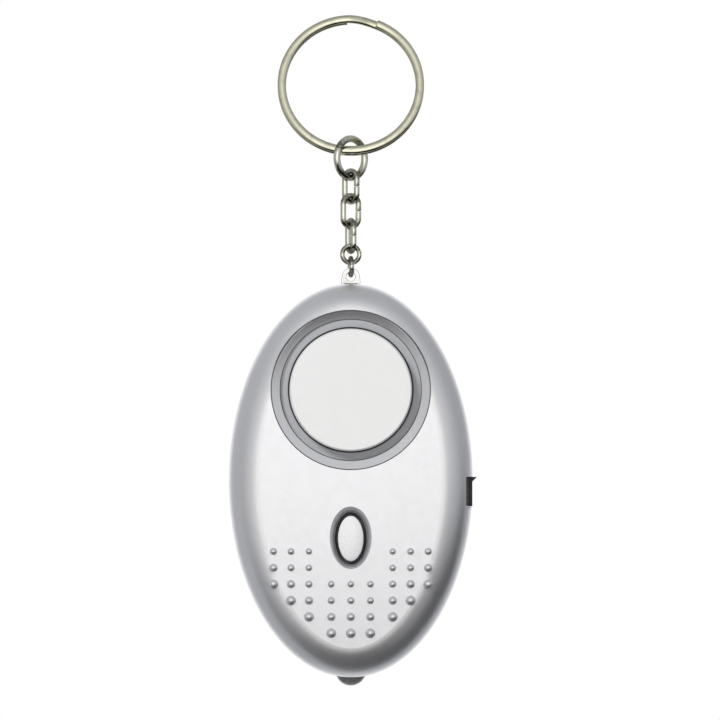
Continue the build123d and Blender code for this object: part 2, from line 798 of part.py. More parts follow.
# Battery tray, open towards the door
tray_face_t = door_inner_t + slide_gap
pillar_length = 3.3
locator_radius = 0.5
locator_reach = 1.2
locator_inset = 0.95
locator_places = both_sides(door_half - door_corner, door_top_u - locator_inset)
seat_plate = 0.8
with BuildPart() as battery_tray:
    with BuildSketch(across(-tray_outer_half)):
        with Locations((battery_u, battery_t)):
            Circle(tray_outer_radius)
        with Locations((battery_u, battery_t - overrun)):
            Rectangle(2 * tray_outer_radius, 2 * overrun, mode=Mode.SUBTRACT)
        with Locations((battery_u, (battery_t + tray_face_t) / 2)):
            Rectangle(2 * tray_outer_radius, battery_t - tray_face_t)
    extrude(amount=2 * tray_outer_half)
    with BuildSketch(front(rear_inner_t)):
        with Locations((0, door_mid_u)):
            outset = door_seat
            RectangleRounded(2 * (door_half + outset), door_height + 2 * outset, door_corner + outset)
    extrude(amount=seat_plate)
    with BuildSketch(front(tray_face_t)):
        with Locations((0, door_mid_u)):
            RectangleRounded(2 * door_half, door_height, door_corner)
    extrude(amount=rear_inner_t + seat_plate - tray_face_t)
    with BuildSketch(front(rear_inner_t)):
        with Locations(door_screw_place):
            Circle(pillar_radius)
    extrude(amount=pillar_length + seat_plate)
    with BuildSketch(across(-tray_inner_half)):
        with Locations((battery_u, battery_t)):
            Circle(tray_inner_radius)
        with Locations((battery_u, battery_t - overrun)):
            Rectangle(2 * tray_inner_radius, 2 * overrun)
    extrude(amount=2 * tray_inner_half, mode=Mode.SUBTRACT)
    with BuildSketch(front(tray_face_t)):
        with Locations(door_screw_place):
            Circle(screw_shaft_radius + fit_gap)
        with Locations(*locator_places):
            Circle(locator_radius + fit_gap)
    extrude(amount=pillar_length, mode=Mode.SUBTRACT)
    with BuildSketch(across(-tray_outer_half)):
        with Locations((tab_u, -leaf_face_t - leaf_thickness / 2)):
            Rectangle(leaf_width + 2 * fit_gap, leaf_thickness + 2 * fit_gap)
    extrude(amount=2 * tray_outer_half, mode=Mode.SUBTRACT)
finish(battery_tray, "battery_tray")

# Button cells, end to end
for number in range(cell_count):
    with BuildPart() as cell:
        with BuildSketch(across(-cells_half + number * cell_length)):
            with Locations((battery_u, battery_t)):
                Circle(cell_radius)
        extrude(amount=cell_length)
        fillet(cell.edges().filter_by(GeomType.CIRCLE), cell_radius * 0.06)
    finish(cell, f"cell_{number + 1}")

# Spring leaf on the left, plate on the right with a tongue out to the tab
contact_height = 7.0
contact_sheet = 0.25
tail_reach = 1.2
with BuildPart() as spring_contact:
    with BuildSketch(across(-tray_inner_half)):
        with Locations((battery_u, battery_t)):
            Rectangle(contact_height, contact_height)
    extrude(amount=contact_sheet)
    with BuildSketch(front(battery_t - leaf_width / 2)):
        with BuildLine():
            crest = contact_room - contact_sheet / 2 - fit_gap
            foot_x = -tray_inner_half + contact_sheet / 2
            Polyline(
                (foot_x, battery_u - contact_height / 2 + contact_sheet),
                (foot_x - contact_sheet / 2 + crest, battery_u),
                (foot_x + contact_sheet, battery_u + contact_height / 2 - contact_sheet),
            )
        trace(line_width=contact_sheet)
    extrude(amount=leaf_width)
    with BuildSketch(across(-tray_inner_half)):
        with Locations((tab_u, -leaf_face_t - leaf_thickness / 2)):
            Rectangle(leaf_width, leaf_thickness)
    extrude(amount=-tray_wall - tail_reach)
finish(spring_contact, "spring_contact")

with BuildPart() as plate_contact:
    with BuildSketch(across(cells_half)):
        with Locations((battery_u, battery_t)):
            Rectangle(contact_height, contact_height)
    extrude(amount=contact_sheet)
    with BuildSketch(across(cells_half)):
        with Locations((tab_u, -leaf_face_t - leaf_thickness / 2)):
            Rectangle(leaf_width, leaf_thickness)
    extrude(amount=leaf_end_x - cells_half)
finish(plate_contact, "plate_contact")

leaf_start_x = tray_outer_half + 4 * wire_radius
with BuildPart() as power_leaf:
    with BuildSketch(across(leaf_start_x)):
        with Locations((tab_u, leaf_face_t + leaf_thickness / 2)):
            Rectangle(leaf_width, leaf_thickness)
    extrude(amount=leaf_end_x - leaf_start_x)
finish(power_leaf, "power_leaf")

# Insulating tab between the tongue and the power leaf, pulled out at first use
with BuildPart() as battery_tab:
    with BuildSketch(front(-tab_thickness / 2)):
        with BuildLine():
            tab_top = tab_u + tab_width / 2
            tab_low = tab_u - tab_width / 2
            Polyline(
                (tab_inner_x, tab_low),
                (half_width, tab_low),
                (half_width, tab_top - tab_spur),
                (half_width + tab_spur, tab_top),
                (half_width - tab_notch / 2, tab_top),
                (tab_inner_x, tab_top),
                close=True,
            )
        make_face()
    extrude(amount=tab_thickness)
finish(battery_tab, "battery_tab")

# Battery door with its locating pegs
door_grip_width = 8.0
door_grip_depth = 0.3
door_grip_pitch = 1.1
with BuildPart() as battery_door:
    with BuildSketch(front(-rear_depth)):
        with Locations((0, door_mid_u)):
            RectangleRounded(2 * door_half, door_height, door_corner)
    extrude(amount=door_thickness)
    with BuildSketch(front(door_inner_t)):
        with Locations(*locator_places):
            Circle(locator_radius)
    extrude(amount=locator_reach)
    with BuildSketch(front(-rear_depth)):
        with Locations(door_screw_place):
            Circle(screw_head_radius + fit_gap)
    extrude(amount=door_thickness / 2, mode=Mode.SUBTRACT)
    with BuildSketch(front(-rear_depth)):
        with Locations(door_screw_place):
            Circle(screw_shaft_radius + fit_gap)
    extrude(amount=door_thickness, mode=Mode.SUBTRACT)
    with BuildSketch(front(-rear_depth)):
        with Locations((0, door_top_u - 3 * door_grip_pitch)):
            with GridLocations(0, door_grip_pitch, 1, 3):
                Rectangle(door_grip_width, door_grip_pitch / 2)
    extrude(amount=door_grip_depth, mode=Mode.SUBTRACT)
finish(battery_door, "battery_door")


def screw(name, place, head_t, head_radius, head_height, shaft_radius, reach):
    """A pan head screw driven from the back, its head's seat at head_t."""
    with BuildPart() as fixing:
        with BuildSketch(front(head_t)):
            with Locations(place):
                Circle(head_radius)
        extrude(amount=-head_height)
        fillet(fixing.edges().group_by(Axis.Y)[-1], head_height * 0.4)
        with BuildSketch(front(head_t - head_height)):
            with Locations(place):
                Rectangle(head_radius * 1.1, head_radius * 0.25)
                Rectangle(head_radius * 0.25, head_radius * 1.1)
        extrude(amount=head_height * 0.5, mode=Mode.SUBTRACT)
        with BuildSketch(front(head_t)):
            with Locations(place):
                Circle(shaft_radius)
        extrude(amount=reach)
    finish(fixing, name)


for number, place in enumerate(screw_places, start=1):
    seat_t = head_sink - rear_depth
    screw(
        f"housing_screw_{number}", place, seat_t, screw_head_radius, screw_head,
        screw_shaft_radius - fit_gap / 2, screw_reach - seat_t,
    )

for number, place in enumerate(board_screw_places, start=1):
    screw(
        f"board_screw_{number}", place, board_back_t, 2 * board_screw_radius, board_screw_radius,
        board_screw_radius - fit_gap / 2, board_thickness + 2 * board_screw_radius,
    )

door_screw_reach = door_thickness / 2 + slide_gap + pillar_length - 3 * fit_gap
screw(
    "door_screw", door_screw_place, door_thickness / 2 - rear_depth, screw_head_radius,
    door_thickness / 2, screw_shaft_radius, door_screw_reach,
)


def wire(name, points):
    """A hook-up wire along a bent line of points."""
    with BuildPart() as lead:
        with BuildLine() as route:
            FilletPolyline(*points, radius=wire_bend)
        with BuildSketch(Plane(origin=route.line @ 0, z_dir=route.line % 0)):
            Circle(wire_radius)
        sweep(path=route.wires()[0])
    finish(lead, name)


# Wires to the siren run over the cells, the others down both sides of the tray
board_solder_t = board_back_t - wire_radius
over_radius = tray_outer_radius + 2 * wire_radius
tail_u = block_u - block_height / 2 - leaf_tail
side_x = tray_outer_half + 2 * wire_radius
side_t = 2.2
wire_run = 3.0
below_tray_u = battery_u - tray_outer_radius - 2 * wire_radius
over_turns = (60, 48)
solder_x = board_width / 2 - 2 * wire_radius
for number, side in enumerate((-1, 1), start=1):
    with BuildPart() as siren_wire:
        x = side * solder_x
        with BuildLine(across(x)) as over:
            up, down = (radians(angle) for angle in over_turns)
            cup_end = (siren_u - piezo_radius / 2, cup_back_t - wire_radius)
            arc_start = (battery_u + over_radius * sin(up), battery_t + over_radius * cos(up))
            arc_top = (battery_u, battery_t + over_radius)
            arc_end = (battery_u - over_radius * sin(down), battery_t + over_radius * cos(down))
            Line(cup_end, arc_start)
            ThreePointArc(arc_start, arc_top, arc_end)
        with BuildSketch(Plane(origin=over.line @ 0, z_dir=over.line % 0)):
            Circle(wire_radius)
        sweep(path=over.wires()[0], transition=Transition.ROUND)
    finish(siren_wire, f"siren_wire_{number}")

    leaf_x = leaf_outer_x - leaf_thickness / 2
    wire(
        f"switch_wire_{number}",
        [
            spot(side * leaf_x, tail_u, 0),
            spot(side * leaf_x, tail_u - wire_run, 0),
            spot(side * side_x, battery_u + tray_outer_radius + wire_run, side_t),
            spot(side * side_x, below_tray_u, side_t),
            spot(side * solder_x, below_tray_u - 2 * wire_radius, board_solder_t),
        ],
    )

# The power leaf is soldered on the right, the tail of the spring contact on the left
tail_place = (-tray_outer_half - tail_reach / 2, -leaf_face_t - leaf_thickness - wire_radius)
leaf_place = (leaf_start_x + wire_radius, leaf_face_t + leaf_thickness + wire_radius)
for number, (start_x, start_t) in enumerate((tail_place, leaf_place), start=1):
    side = -1 if start_x < 0 else 1
    wire(
        f"battery_wire_{number}",
        [
            spot(start_x, tab_u, start_t),
            spot(start_x + side * wire_radius, below_tray_u, start_t + side * wire_radius),
            spot(side * solder_x, below_tray_u - 1.75 * wire_run, board_solder_t),
        ],
    )
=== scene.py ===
"""Looks of a personal safety alarm on a key ring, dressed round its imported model.

Metres. +Z up, +X to the right, the front of the housing faces -Y, and the key ring's eye is the origin.
"""

import json
import math

import bmesh
import bpy
from mathutils import Matrix, Vector
from mathutils.bvhtree import BVHTree


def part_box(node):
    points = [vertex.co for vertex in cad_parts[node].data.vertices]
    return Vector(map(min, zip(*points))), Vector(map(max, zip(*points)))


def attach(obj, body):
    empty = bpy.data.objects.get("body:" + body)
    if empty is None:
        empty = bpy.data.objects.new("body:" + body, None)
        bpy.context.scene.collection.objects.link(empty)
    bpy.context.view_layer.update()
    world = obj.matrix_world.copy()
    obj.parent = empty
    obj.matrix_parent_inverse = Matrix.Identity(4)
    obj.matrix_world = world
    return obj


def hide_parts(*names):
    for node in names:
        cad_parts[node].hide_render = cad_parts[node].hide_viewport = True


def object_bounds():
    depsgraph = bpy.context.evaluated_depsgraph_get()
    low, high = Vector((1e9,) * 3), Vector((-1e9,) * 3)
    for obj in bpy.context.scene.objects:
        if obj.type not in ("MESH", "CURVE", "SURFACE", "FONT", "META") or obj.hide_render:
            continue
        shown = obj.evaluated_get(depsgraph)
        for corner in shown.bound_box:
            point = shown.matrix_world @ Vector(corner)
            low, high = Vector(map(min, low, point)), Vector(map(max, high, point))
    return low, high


bl_info = {
    "name": "Personal Safety Alarm",
    "version": (1, 0, 0),
    "blender": (4, 5, 0),
    "location": "View3D > Sidebar > Safety Alarm",
    "description": "Dresses a packed key-ring safety alarm: ring, chain, pin, housing, siren and lamp",
    "category": "Object",
}

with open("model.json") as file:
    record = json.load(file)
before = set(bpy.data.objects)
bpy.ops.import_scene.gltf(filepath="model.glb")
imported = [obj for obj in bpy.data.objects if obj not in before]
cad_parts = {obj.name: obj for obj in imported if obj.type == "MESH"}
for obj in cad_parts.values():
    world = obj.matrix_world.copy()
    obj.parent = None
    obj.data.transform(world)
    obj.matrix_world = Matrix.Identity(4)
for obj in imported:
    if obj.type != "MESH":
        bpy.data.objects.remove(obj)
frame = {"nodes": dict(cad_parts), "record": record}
packed_low, packed_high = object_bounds()

MM = 0.001


def middle(node):
    """Centre of a CAD node's box."""
    low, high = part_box(node)
    return (low + high) / 2


def span(node):
    """Size of a CAD node's box."""
    low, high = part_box(node)
    return high - low


CHAIN_Y = middle("end_ring").y
HOUSING_MIDDLE = (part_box("front_shell")[0].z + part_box("front_shell")[1].z) / 2
RING_RADIUS = span("split_ring").x / 2
NODE_SLOTS = {row["node"]: row["material_slot"] for row in frame["record"]["subparts"]}
HUNG_NODES = ("split_ring", "jump_ring", "link_1", "link_2", "link_3", "small_ring", "end_ring", "pull_pin")

# Steps of a turn, and sides of a strip, a wire and an oval
COIL_STEPS = 170
CROSSING_STEPS = 14
STRIP_SIDES = 32
WIRE_SIDES = 24
OVAL_SIDES = 72
RING_STEPS = 72
BEND_STEPS = 30
LATHE_STEPS = 144

# Edges that turn by more than CUT_ANGLE are cut edges. CUT_ROUNDING is a share of the wire's thickness.
CUT_ANGLE = math.radians(60)
CUT_ROUNDING = 0.07
STRIP_ROUNDING = 0.07 * MM

# How far each ring and link is turned about the chain's line, and where a round ring's closing seam lies
JUMP_TWIST = math.radians(45)
JUMP_SEAM = math.radians(150)
LINK_TWISTS = (math.radians(-45), math.radians(26), math.radians(-70))
SMALL_TWIST = math.radians(6)
SMALL_SEAM = math.radians(20)
END_TWIST = math.radians(-84)
END_SEAM = math.radians(35)

# The dark rings of painted shadow: the one in the siren's groove, and the part of the one under the siren
# cap's edge that the cap hides
GROOVE_SHADOW_SHARE = 0.46
GROOVE_SHADOW_MARGIN = 1.2
GROOVE_SHADOW_THICKNESS = 0.2 * MM
CAP_SHADOW_HIDDEN = 0.8 * MM
CAP_SHADOW_ROUNDING = 0.03 * MM

FLANGE_ROUNDING = 0.1 * MM
CROWN_STEPS = 10

# A merged copy of a CAD node: how near its points are one, and how little its faces turn to be one
MERGE_DISTANCE = 0.002 * MM
FLAT_TURN = math.radians(0.6)
LATHE_MERGE = 0.0005 * MM


# Settings


class AlarmRingSettings(bpy.types.PropertyGroup):
    """Sizes of the key ring and of the chain."""

    strip: bpy.props.FloatProperty(
        name="Ring strip", description="Width of the key ring's strip, measured outwards",
        default=1.35 * MM, unit="LENGTH", precision=5,
    )
    wire: bpy.props.FloatProperty(
        name="Ring thickness", description="Thickness of one turn of the key ring",
        default=0.82 * MM, unit="LENGTH", precision=5,
    )
    coil_gap: bpy.props.FloatProperty(
        name="Coil gap", description="Gap between the two turns of the key ring",
        default=0.05 * MM, unit="LENGTH", precision=5,
    )
    tilt: bpy.props.FloatProperty(
        name="Ring tilt", description="How far the top of the key ring leans back",
        default=math.radians(16.5), unit="ROTATION",
    )
    coil_end: bpy.props.FloatProperty(
        name="Coil end", description="Place of the front turn's cut end, counted from the right",
        default=math.radians(68.0), unit="ROTATION",
    )
    coil_turns: bpy.props.FloatProperty(
        name="Turns", description="Turns of the key ring's strip", default=1.93,
    )
    jump_wire: bpy.props.FloatProperty(
        name="Jump ring wire", description="Wire thickness of the ring that hangs on the key ring",
        default=1.12 * MM, unit="LENGTH", precision=5,
    )
    link_wire: bpy.props.FloatProperty(
        name="Link wire", description="Wire thickness of the oval links",
        default=0.92 * MM, unit="LENGTH", precision=5,
    )
    link_width: bpy.props.FloatProperty(
        name="Link width", description="Outer width of an oval link",
        default=3.6 * MM, unit="LENGTH", precision=5,
    )
    small_wire: bpy.props.FloatProperty(
        name="Small ring wire", description="Wire thickness of the two small rings",
        default=0.74 * MM, unit="LENGTH", precision=5,
    )
    seam: bpy.props.FloatProperty(
        name="Closing seam", description="Gap where a bent ring or link meets itself",
        default=0.06 * MM, unit="LENGTH", precision=5,
    )
    nickel: bpy.props.FloatVectorProperty(
        name="Ring nickel", description="Colour of the plated key ring",
        subtype="COLOR", size=3, min=0.0, max=1.0, default=(0.86, 0.85, 0.655),
    )
    chain_nickel: bpy.props.FloatVectorProperty(
        name="Chain nickel", description="Colour of the plated chain",
        subtype="COLOR", size=3, min=0.0, max=1.0, default=(0.98, 0.97, 0.84),
    )


class AlarmHousingSettings(bpy.types.PropertyGroup):
    """Sizes and colours of the housing and what shows on it."""

    edge_break: bpy.props.FloatProperty(
        name="Edge break", description="Rounding of the moulded edges of small parts",
        default=0.12 * MM, unit="LENGTH", precision=5,
    )
    button_width: bpy.props.FloatProperty(
        name="Button width", description="Width of the light button's face",
        default=4.05 * MM, unit="LENGTH", precision=5,
    )
    button_height: bpy.props.FloatProperty(
        name="Button height", description="Height of the light button's face",
        default=7.2 * MM, unit="LENGTH", precision=5,
    )
    button_face: bpy.props.FloatProperty(
        name="Button face", description="Thickness of the light button's painted face at its edge",
        default=0.3 * MM, unit="LENGTH", precision=5,
    )
    button_crown: bpy.props.FloatProperty(
        name="Button crown", description="Rise of the light button's face from its edge to its middle",
        default=0.2 * MM, unit="LENGTH", precision=5,
    )
    button_flange: bpy.props.FloatProperty(
        name="Button flange", description="Thickness of the flange that keeps the light button in",
        default=0.7 * MM, unit="LENGTH", precision=5,
    )
    groove_radius: bpy.props.FloatProperty(
        name="Groove radius", description="Radius of the fine groove round the siren's bezel",
        default=12.66 * MM, unit="LENGTH", precision=5,
    )
    groove_width: bpy.props.FloatProperty(
        name="Groove width", description="Width of the fine groove round the siren's bezel",
        default=0.16 * MM, unit="LENGTH", precision=5,
    )
    # Painted shadow: the dark ring in the groove stands in for the groove's shade.
    groove_shadow_depth: bpy.props.FloatProperty(
        name="Seal depth", description="How far the dark seal lies below the edge of its groove",
        default=0.06 * MM, unit="LENGTH", precision=5,
    )
    # Painted shadow: a dark ring under the siren cap's edge stands in for the shade in the gap round the
    # cap. The next three settings size it.
    felt: bpy.props.FloatProperty(
        name="Shadow", description="Thickness of the dark felt ring under the siren cap",
        default=0.14 * MM, unit="LENGTH", precision=5,
    )
    shadow_rim: bpy.props.FloatProperty(
        name="Felt rim", description="How far the felt ring shows beyond the siren cap",
        default=0.25 * MM, unit="LENGTH", precision=5,
    )
    shadow_drop: bpy.props.FloatProperty(
        name="Felt depth", description="Distance from the front of the siren cap to the felt ring",
        default=2.0 * MM, unit="LENGTH", precision=5,
    )
    silver: bpy.props.FloatVectorProperty(
        name="Silver paint", description="Colour of the painted housing",
        subtype="COLOR", size=3, min=0.0, max=1.0, default=(0.87, 0.87, 0.885),
    )
    # Painted shade: the siren floor is the housing's silver plastic, given a darker grey for the shade in
    # its recess.
    shaded_grille: bpy.props.FloatVectorProperty(
        name="Siren floor", description="Colour of the satin floor round the siren cap",
        subtype="COLOR", size=3, min=0.0, max=1.0, default=(0.37, 0.375, 0.39),
    )
    cap: bpy.props.FloatVectorProperty(
        name="Siren cap", description="Colour of the siren cap",
        subtype="COLOR", size=3, min=0.0, max=1.0, default=(0.755, 0.755, 0.75),
    )
    button: bpy.props.FloatVectorProperty(
        name="Light button", description="Colour of the light button",
        subtype="COLOR", size=3, min=0.0, max=1.0, default=(0.70, 0.70, 0.705),
    )
    lamp: bpy.props.FloatVectorProperty(
        name="Lamp", description="Colour of the smoky lamp",
        subtype="COLOR", size=3, min=0.0, max=1.0, default=(0.21, 0.21, 0.215),
    )


class AlarmStageSettings(bpy.types.PropertyGroup):
    """Camera, light and floor."""

    camera_distance: bpy.props.FloatProperty(
        name="Camera distance", description="Distance from the camera to the chain",
        default=1.2, unit="LENGTH",
    )
    picture_width: bpy.props.FloatProperty(
        name="Picture width", description="What the picture spans at the chain's distance",
        default=115.2 * MM, unit="LENGTH",
    )
    picture_x: bpy.props.FloatProperty(
        name="Picture centre", description="How far the picture's centre lies right of the chain",
        default=1.47 * MM, unit="LENGTH", precision=5,
    )
    picture_above: bpy.props.FloatProperty(
        name="Picture height", description="How far the picture's centre lies above the housing's middle",
        default=19.25 * MM, unit="LENGTH", precision=5,
    )
    floor_drop: bpy.props.FloatProperty(
        name="Floor drop", description="Distance from the lowest point of the model to the floor",
        default=22.0 * MM, unit="LENGTH",
    )
    key_power: bpy.props.FloatProperty(
        name="Key lamp", description="Power of the soft lamp at the upper left", default=4.0, unit="POWER",
    )


def finish_name(slot):
    """Blender's name for the finish of a material slot."""
    return f"{slot}_finish"


# Shaping tools


def turned(x_dir, up, normal, origin):
    """Matrix that carries a shape drawn in its own XY plane to a plane of the part."""
    turn = Matrix((x_dir, up, normal)).transposed().to_4x4()
    return Matrix.Translation(origin) @ turn


def facing_front(origin):
    """Matrix of the upright plane that faces the front: its own x is to the right and its y is up."""
    return turned(Vector((1, 0, 0)), Vector((0, 0, 1)), Vector((0, -1, 0)), origin)


def hanging_plane(node, twist):
    """Matrix of a link's upright plane, turned about the chain: its own x is level and its y is up."""
    c = math.cos(twist)
    s = math.sin(twist)
    centre = Vector((0.0, CHAIN_Y, middle(node).z))
    return turned(Vector((c, s, 0.0)), Vector((0.0, 0.0, 1.0)), Vector((s, -c, 0.0)), centre)


def wire_end(bm, radius, centre):
    """Round end of a wire that runs along Y, as one face."""
    made = bmesh.ops.create_circle(bm, cap_ends=True, segments=WIRE_SIDES, radius=radius)
    verts = made["verts"]
    bmesh.ops.rotate(bm, verts=verts, cent=(0, 0, 0), matrix=Matrix.Rotation(math.radians(90), 3, "X"))
    bmesh.ops.translate(bm, verts=verts, vec=centre)
    return list({face for vert in verts for face in vert.link_faces})


def oval(bm, width, height, segments=OVAL_SIDES):
    """Flat oval face in the XY plane."""
    made = bmesh.ops.create_circle(bm, cap_ends=True, segments=segments, radius=0.5)
    bmesh.ops.scale(bm, vec=(width, height, 1.0), verts=made["verts"])
    return list({face for vert in made["verts"] for face in vert.link_faces})


def pulled(bm, faces, vector):
    """Extrudes faces straight and returns the new end faces."""
    made = bmesh.ops.extrude_face_region(bm, geom=faces)["geom"]
    bmesh.ops.translate(bm, verts=[g for g in made if isinstance(g, bmesh.types.BMVert)], vec=vector)
    return [g for g in made if isinstance(g, bmesh.types.BMFace)]


def crowned(bm, faces, rise, steps):
    """Raises a flat face to a low dome, in rings that shrink towards its middle."""
    height = 0.0
    for step in range(1, steps + 1):
        share = step / (steps + 1)
        level = rise * (1 - (1 - share) ** 2)
        faces = pulled(bm, faces, (0, 0, level - height))
        shrink = (1 - share) / (1 - share + 1 / (steps + 1))
        bmesh.ops.scale(bm, vec=(shrink, shrink, 1.0), verts=faces[0].verts)
        height = level


def lathed(bm, profile):
    """Turned shape from the (radius, height) points of its section, about the Z axis."""
    verts = [bm.verts.new((radius, 0.0, height)) for radius, height in profile]
    edges = [bm.edges.new(pair) for pair in zip(verts, verts[1:])]
    bmesh.ops.spin(
        bm, geom=verts + edges, cent=(0, 0, 0), axis=(0, 0, 1), dvec=(0, 0, 0), angle=math.tau,
        steps=LATHE_STEPS, use_merge=True, use_duplicate=False,
    )
    bmesh.ops.remove_doubles(bm, verts=bm.verts, dist=LATHE_MERGE)


def rounded(bm, edge, angle=CUT_ANGLE, segments=2):
    """Rounds the edges that turn by more than an angle."""
    sharp = [e for e in bm.edges if len(e.link_faces) == 2 and e.calc_face_angle(0) > angle]
    bmesh.ops.bevel(
        bm, geom=sharp, offset=edge, offset_type="OFFSET", segments=segments, profile=0.5,
        affect="EDGES", clamp_overlap=True, material=-1, loop_slide=True,
    )


def swept(bm, faces, centre, axis, angle, steps, rise=Vector((0, 0, 0))):
    """Turns faces about an axis, drawing a bar behind them, and returns the new end faces."""
    made = bmesh.ops.spin(
        bm, geom=faces, cent=centre, axis=axis, dvec=rise / steps, angle=angle, steps=steps,
        use_duplicate=False,
    )["geom_last"]
    return [g for g in made if isinstance(g, bmesh.types.BMFace)]


def open_inside(bm):
    """Deletes the faces that drawing a bar in stages leaves across its inside."""
    across = [face for face in bm.faces if all(len(edge.link_faces) > 2 for edge in face.edges)]
    bmesh.ops.delete(bm, geom=across, context="FACES_ONLY")


def smooth(mesh, sharp):
    """Shades a mesh smooth, with edges steeper than the angle left crisp."""
    mesh.polygons.foreach_set("use_smooth", [True] * len(mesh.polygons))
    mesh.set_sharp_from_angle(angle=sharp)


def piece_from(bm, name, body, slot, nodes=(), place=None, sharp=math.radians(38)):
    """Turns a finished bmesh into a piece of the alarm, riding on its CAD body."""
    if place is not None:
        bmesh.ops.transform(bm, matrix=place, verts=bm.verts)
    open_inside(bm)
    bmesh.ops.recalc_face_normals(bm, faces=bm.faces)
    mesh = bpy.data.meshes.new(name)
    bm.to_mesh(mesh)
    bm.free()
    smooth(mesh, sharp)
    mesh.materials.append(bpy.data.materials[finish_name(slot)])
    piece = bpy.data.objects.new(name, mesh)
    bpy.context.scene.collection.objects.link(piece)
    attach(piece, body)
    if nodes:
        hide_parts(*nodes)
    return piece


def flat_normal(vert):
    """Normal of a vertex led by its largest faces, so that flat faces beside a rounding stay flat."""
    total = Vector((0.0, 0.0, 0.0))
    for face in vert.link_faces:
        total += face.normal * face.calc_area()
    return total.normalized()


def eased(node, name, body, slot, edge, angle=math.radians(32), segments=2):
    """A copy of a CAD node with its sharp edges rounded, which stands for that node."""
    bm = bmesh.new()
    bm.from_mesh(frame["nodes"][node].data)
    bmesh.ops.remove_doubles(bm, verts=bm.verts, dist=MERGE_DISTANCE)
    bmesh.ops.dissolve_limit(
        bm, angle_limit=FLAT_TURN, verts=bm.verts, edges=bm.edges, use_dissolve_boundaries=False,
    )
    rounded(bm, edge, angle, segments)
    bmesh.ops.recalc_face_normals(bm, faces=bm.faces)
    normals = [flat_normal(vert) for vert in bm.verts]
    piece = piece_from(bm, name, body, slot, (node,))
    piece.data.normals_split_custom_set_from_vertices(normals)
    return piece


def dress(*nodes):
    """Gives CAD nodes, which keep their shape, the finish of their material slot."""
    for node in nodes:
        materials = frame["nodes"][node].data.materials
        materials.clear()
        materials.append(bpy.data.materials[finish_name(NODE_SLOTS[node])])


# Finishes

# The Wave texture's scale that makes it repeat once a metre
WAVE_REPEAT = 0.05 * math.tau


def maths(nodes, links, operation, first, second):
    """A node that reckons with two values, each a number or the output of another node."""
    node = nodes.new("ShaderNodeMath")
    node.operation = operation
    for socket, value in zip(node.inputs, (first, second)):
        if isinstance(value, (int, float)):
            socket.default_value = value
        else:
            links.new(value, socket)
    return node.outputs["Value"]


def blended(nodes, links, factor, first, second):
    """Output of a node that mixes two colours by a factor."""
    node = nodes.new("ShaderNodeMix")
    node.data_type = "RGBA"
    colours = [socket for socket in node.inputs if socket.type == "RGBA"]
    colours[0].default_value = (*first, 1.0)
    colours[1].default_value = (*second, 1.0)
    links.new(factor, node.inputs["Factor"])
    return next(socket for socket in node.outputs if socket.type == "RGBA")


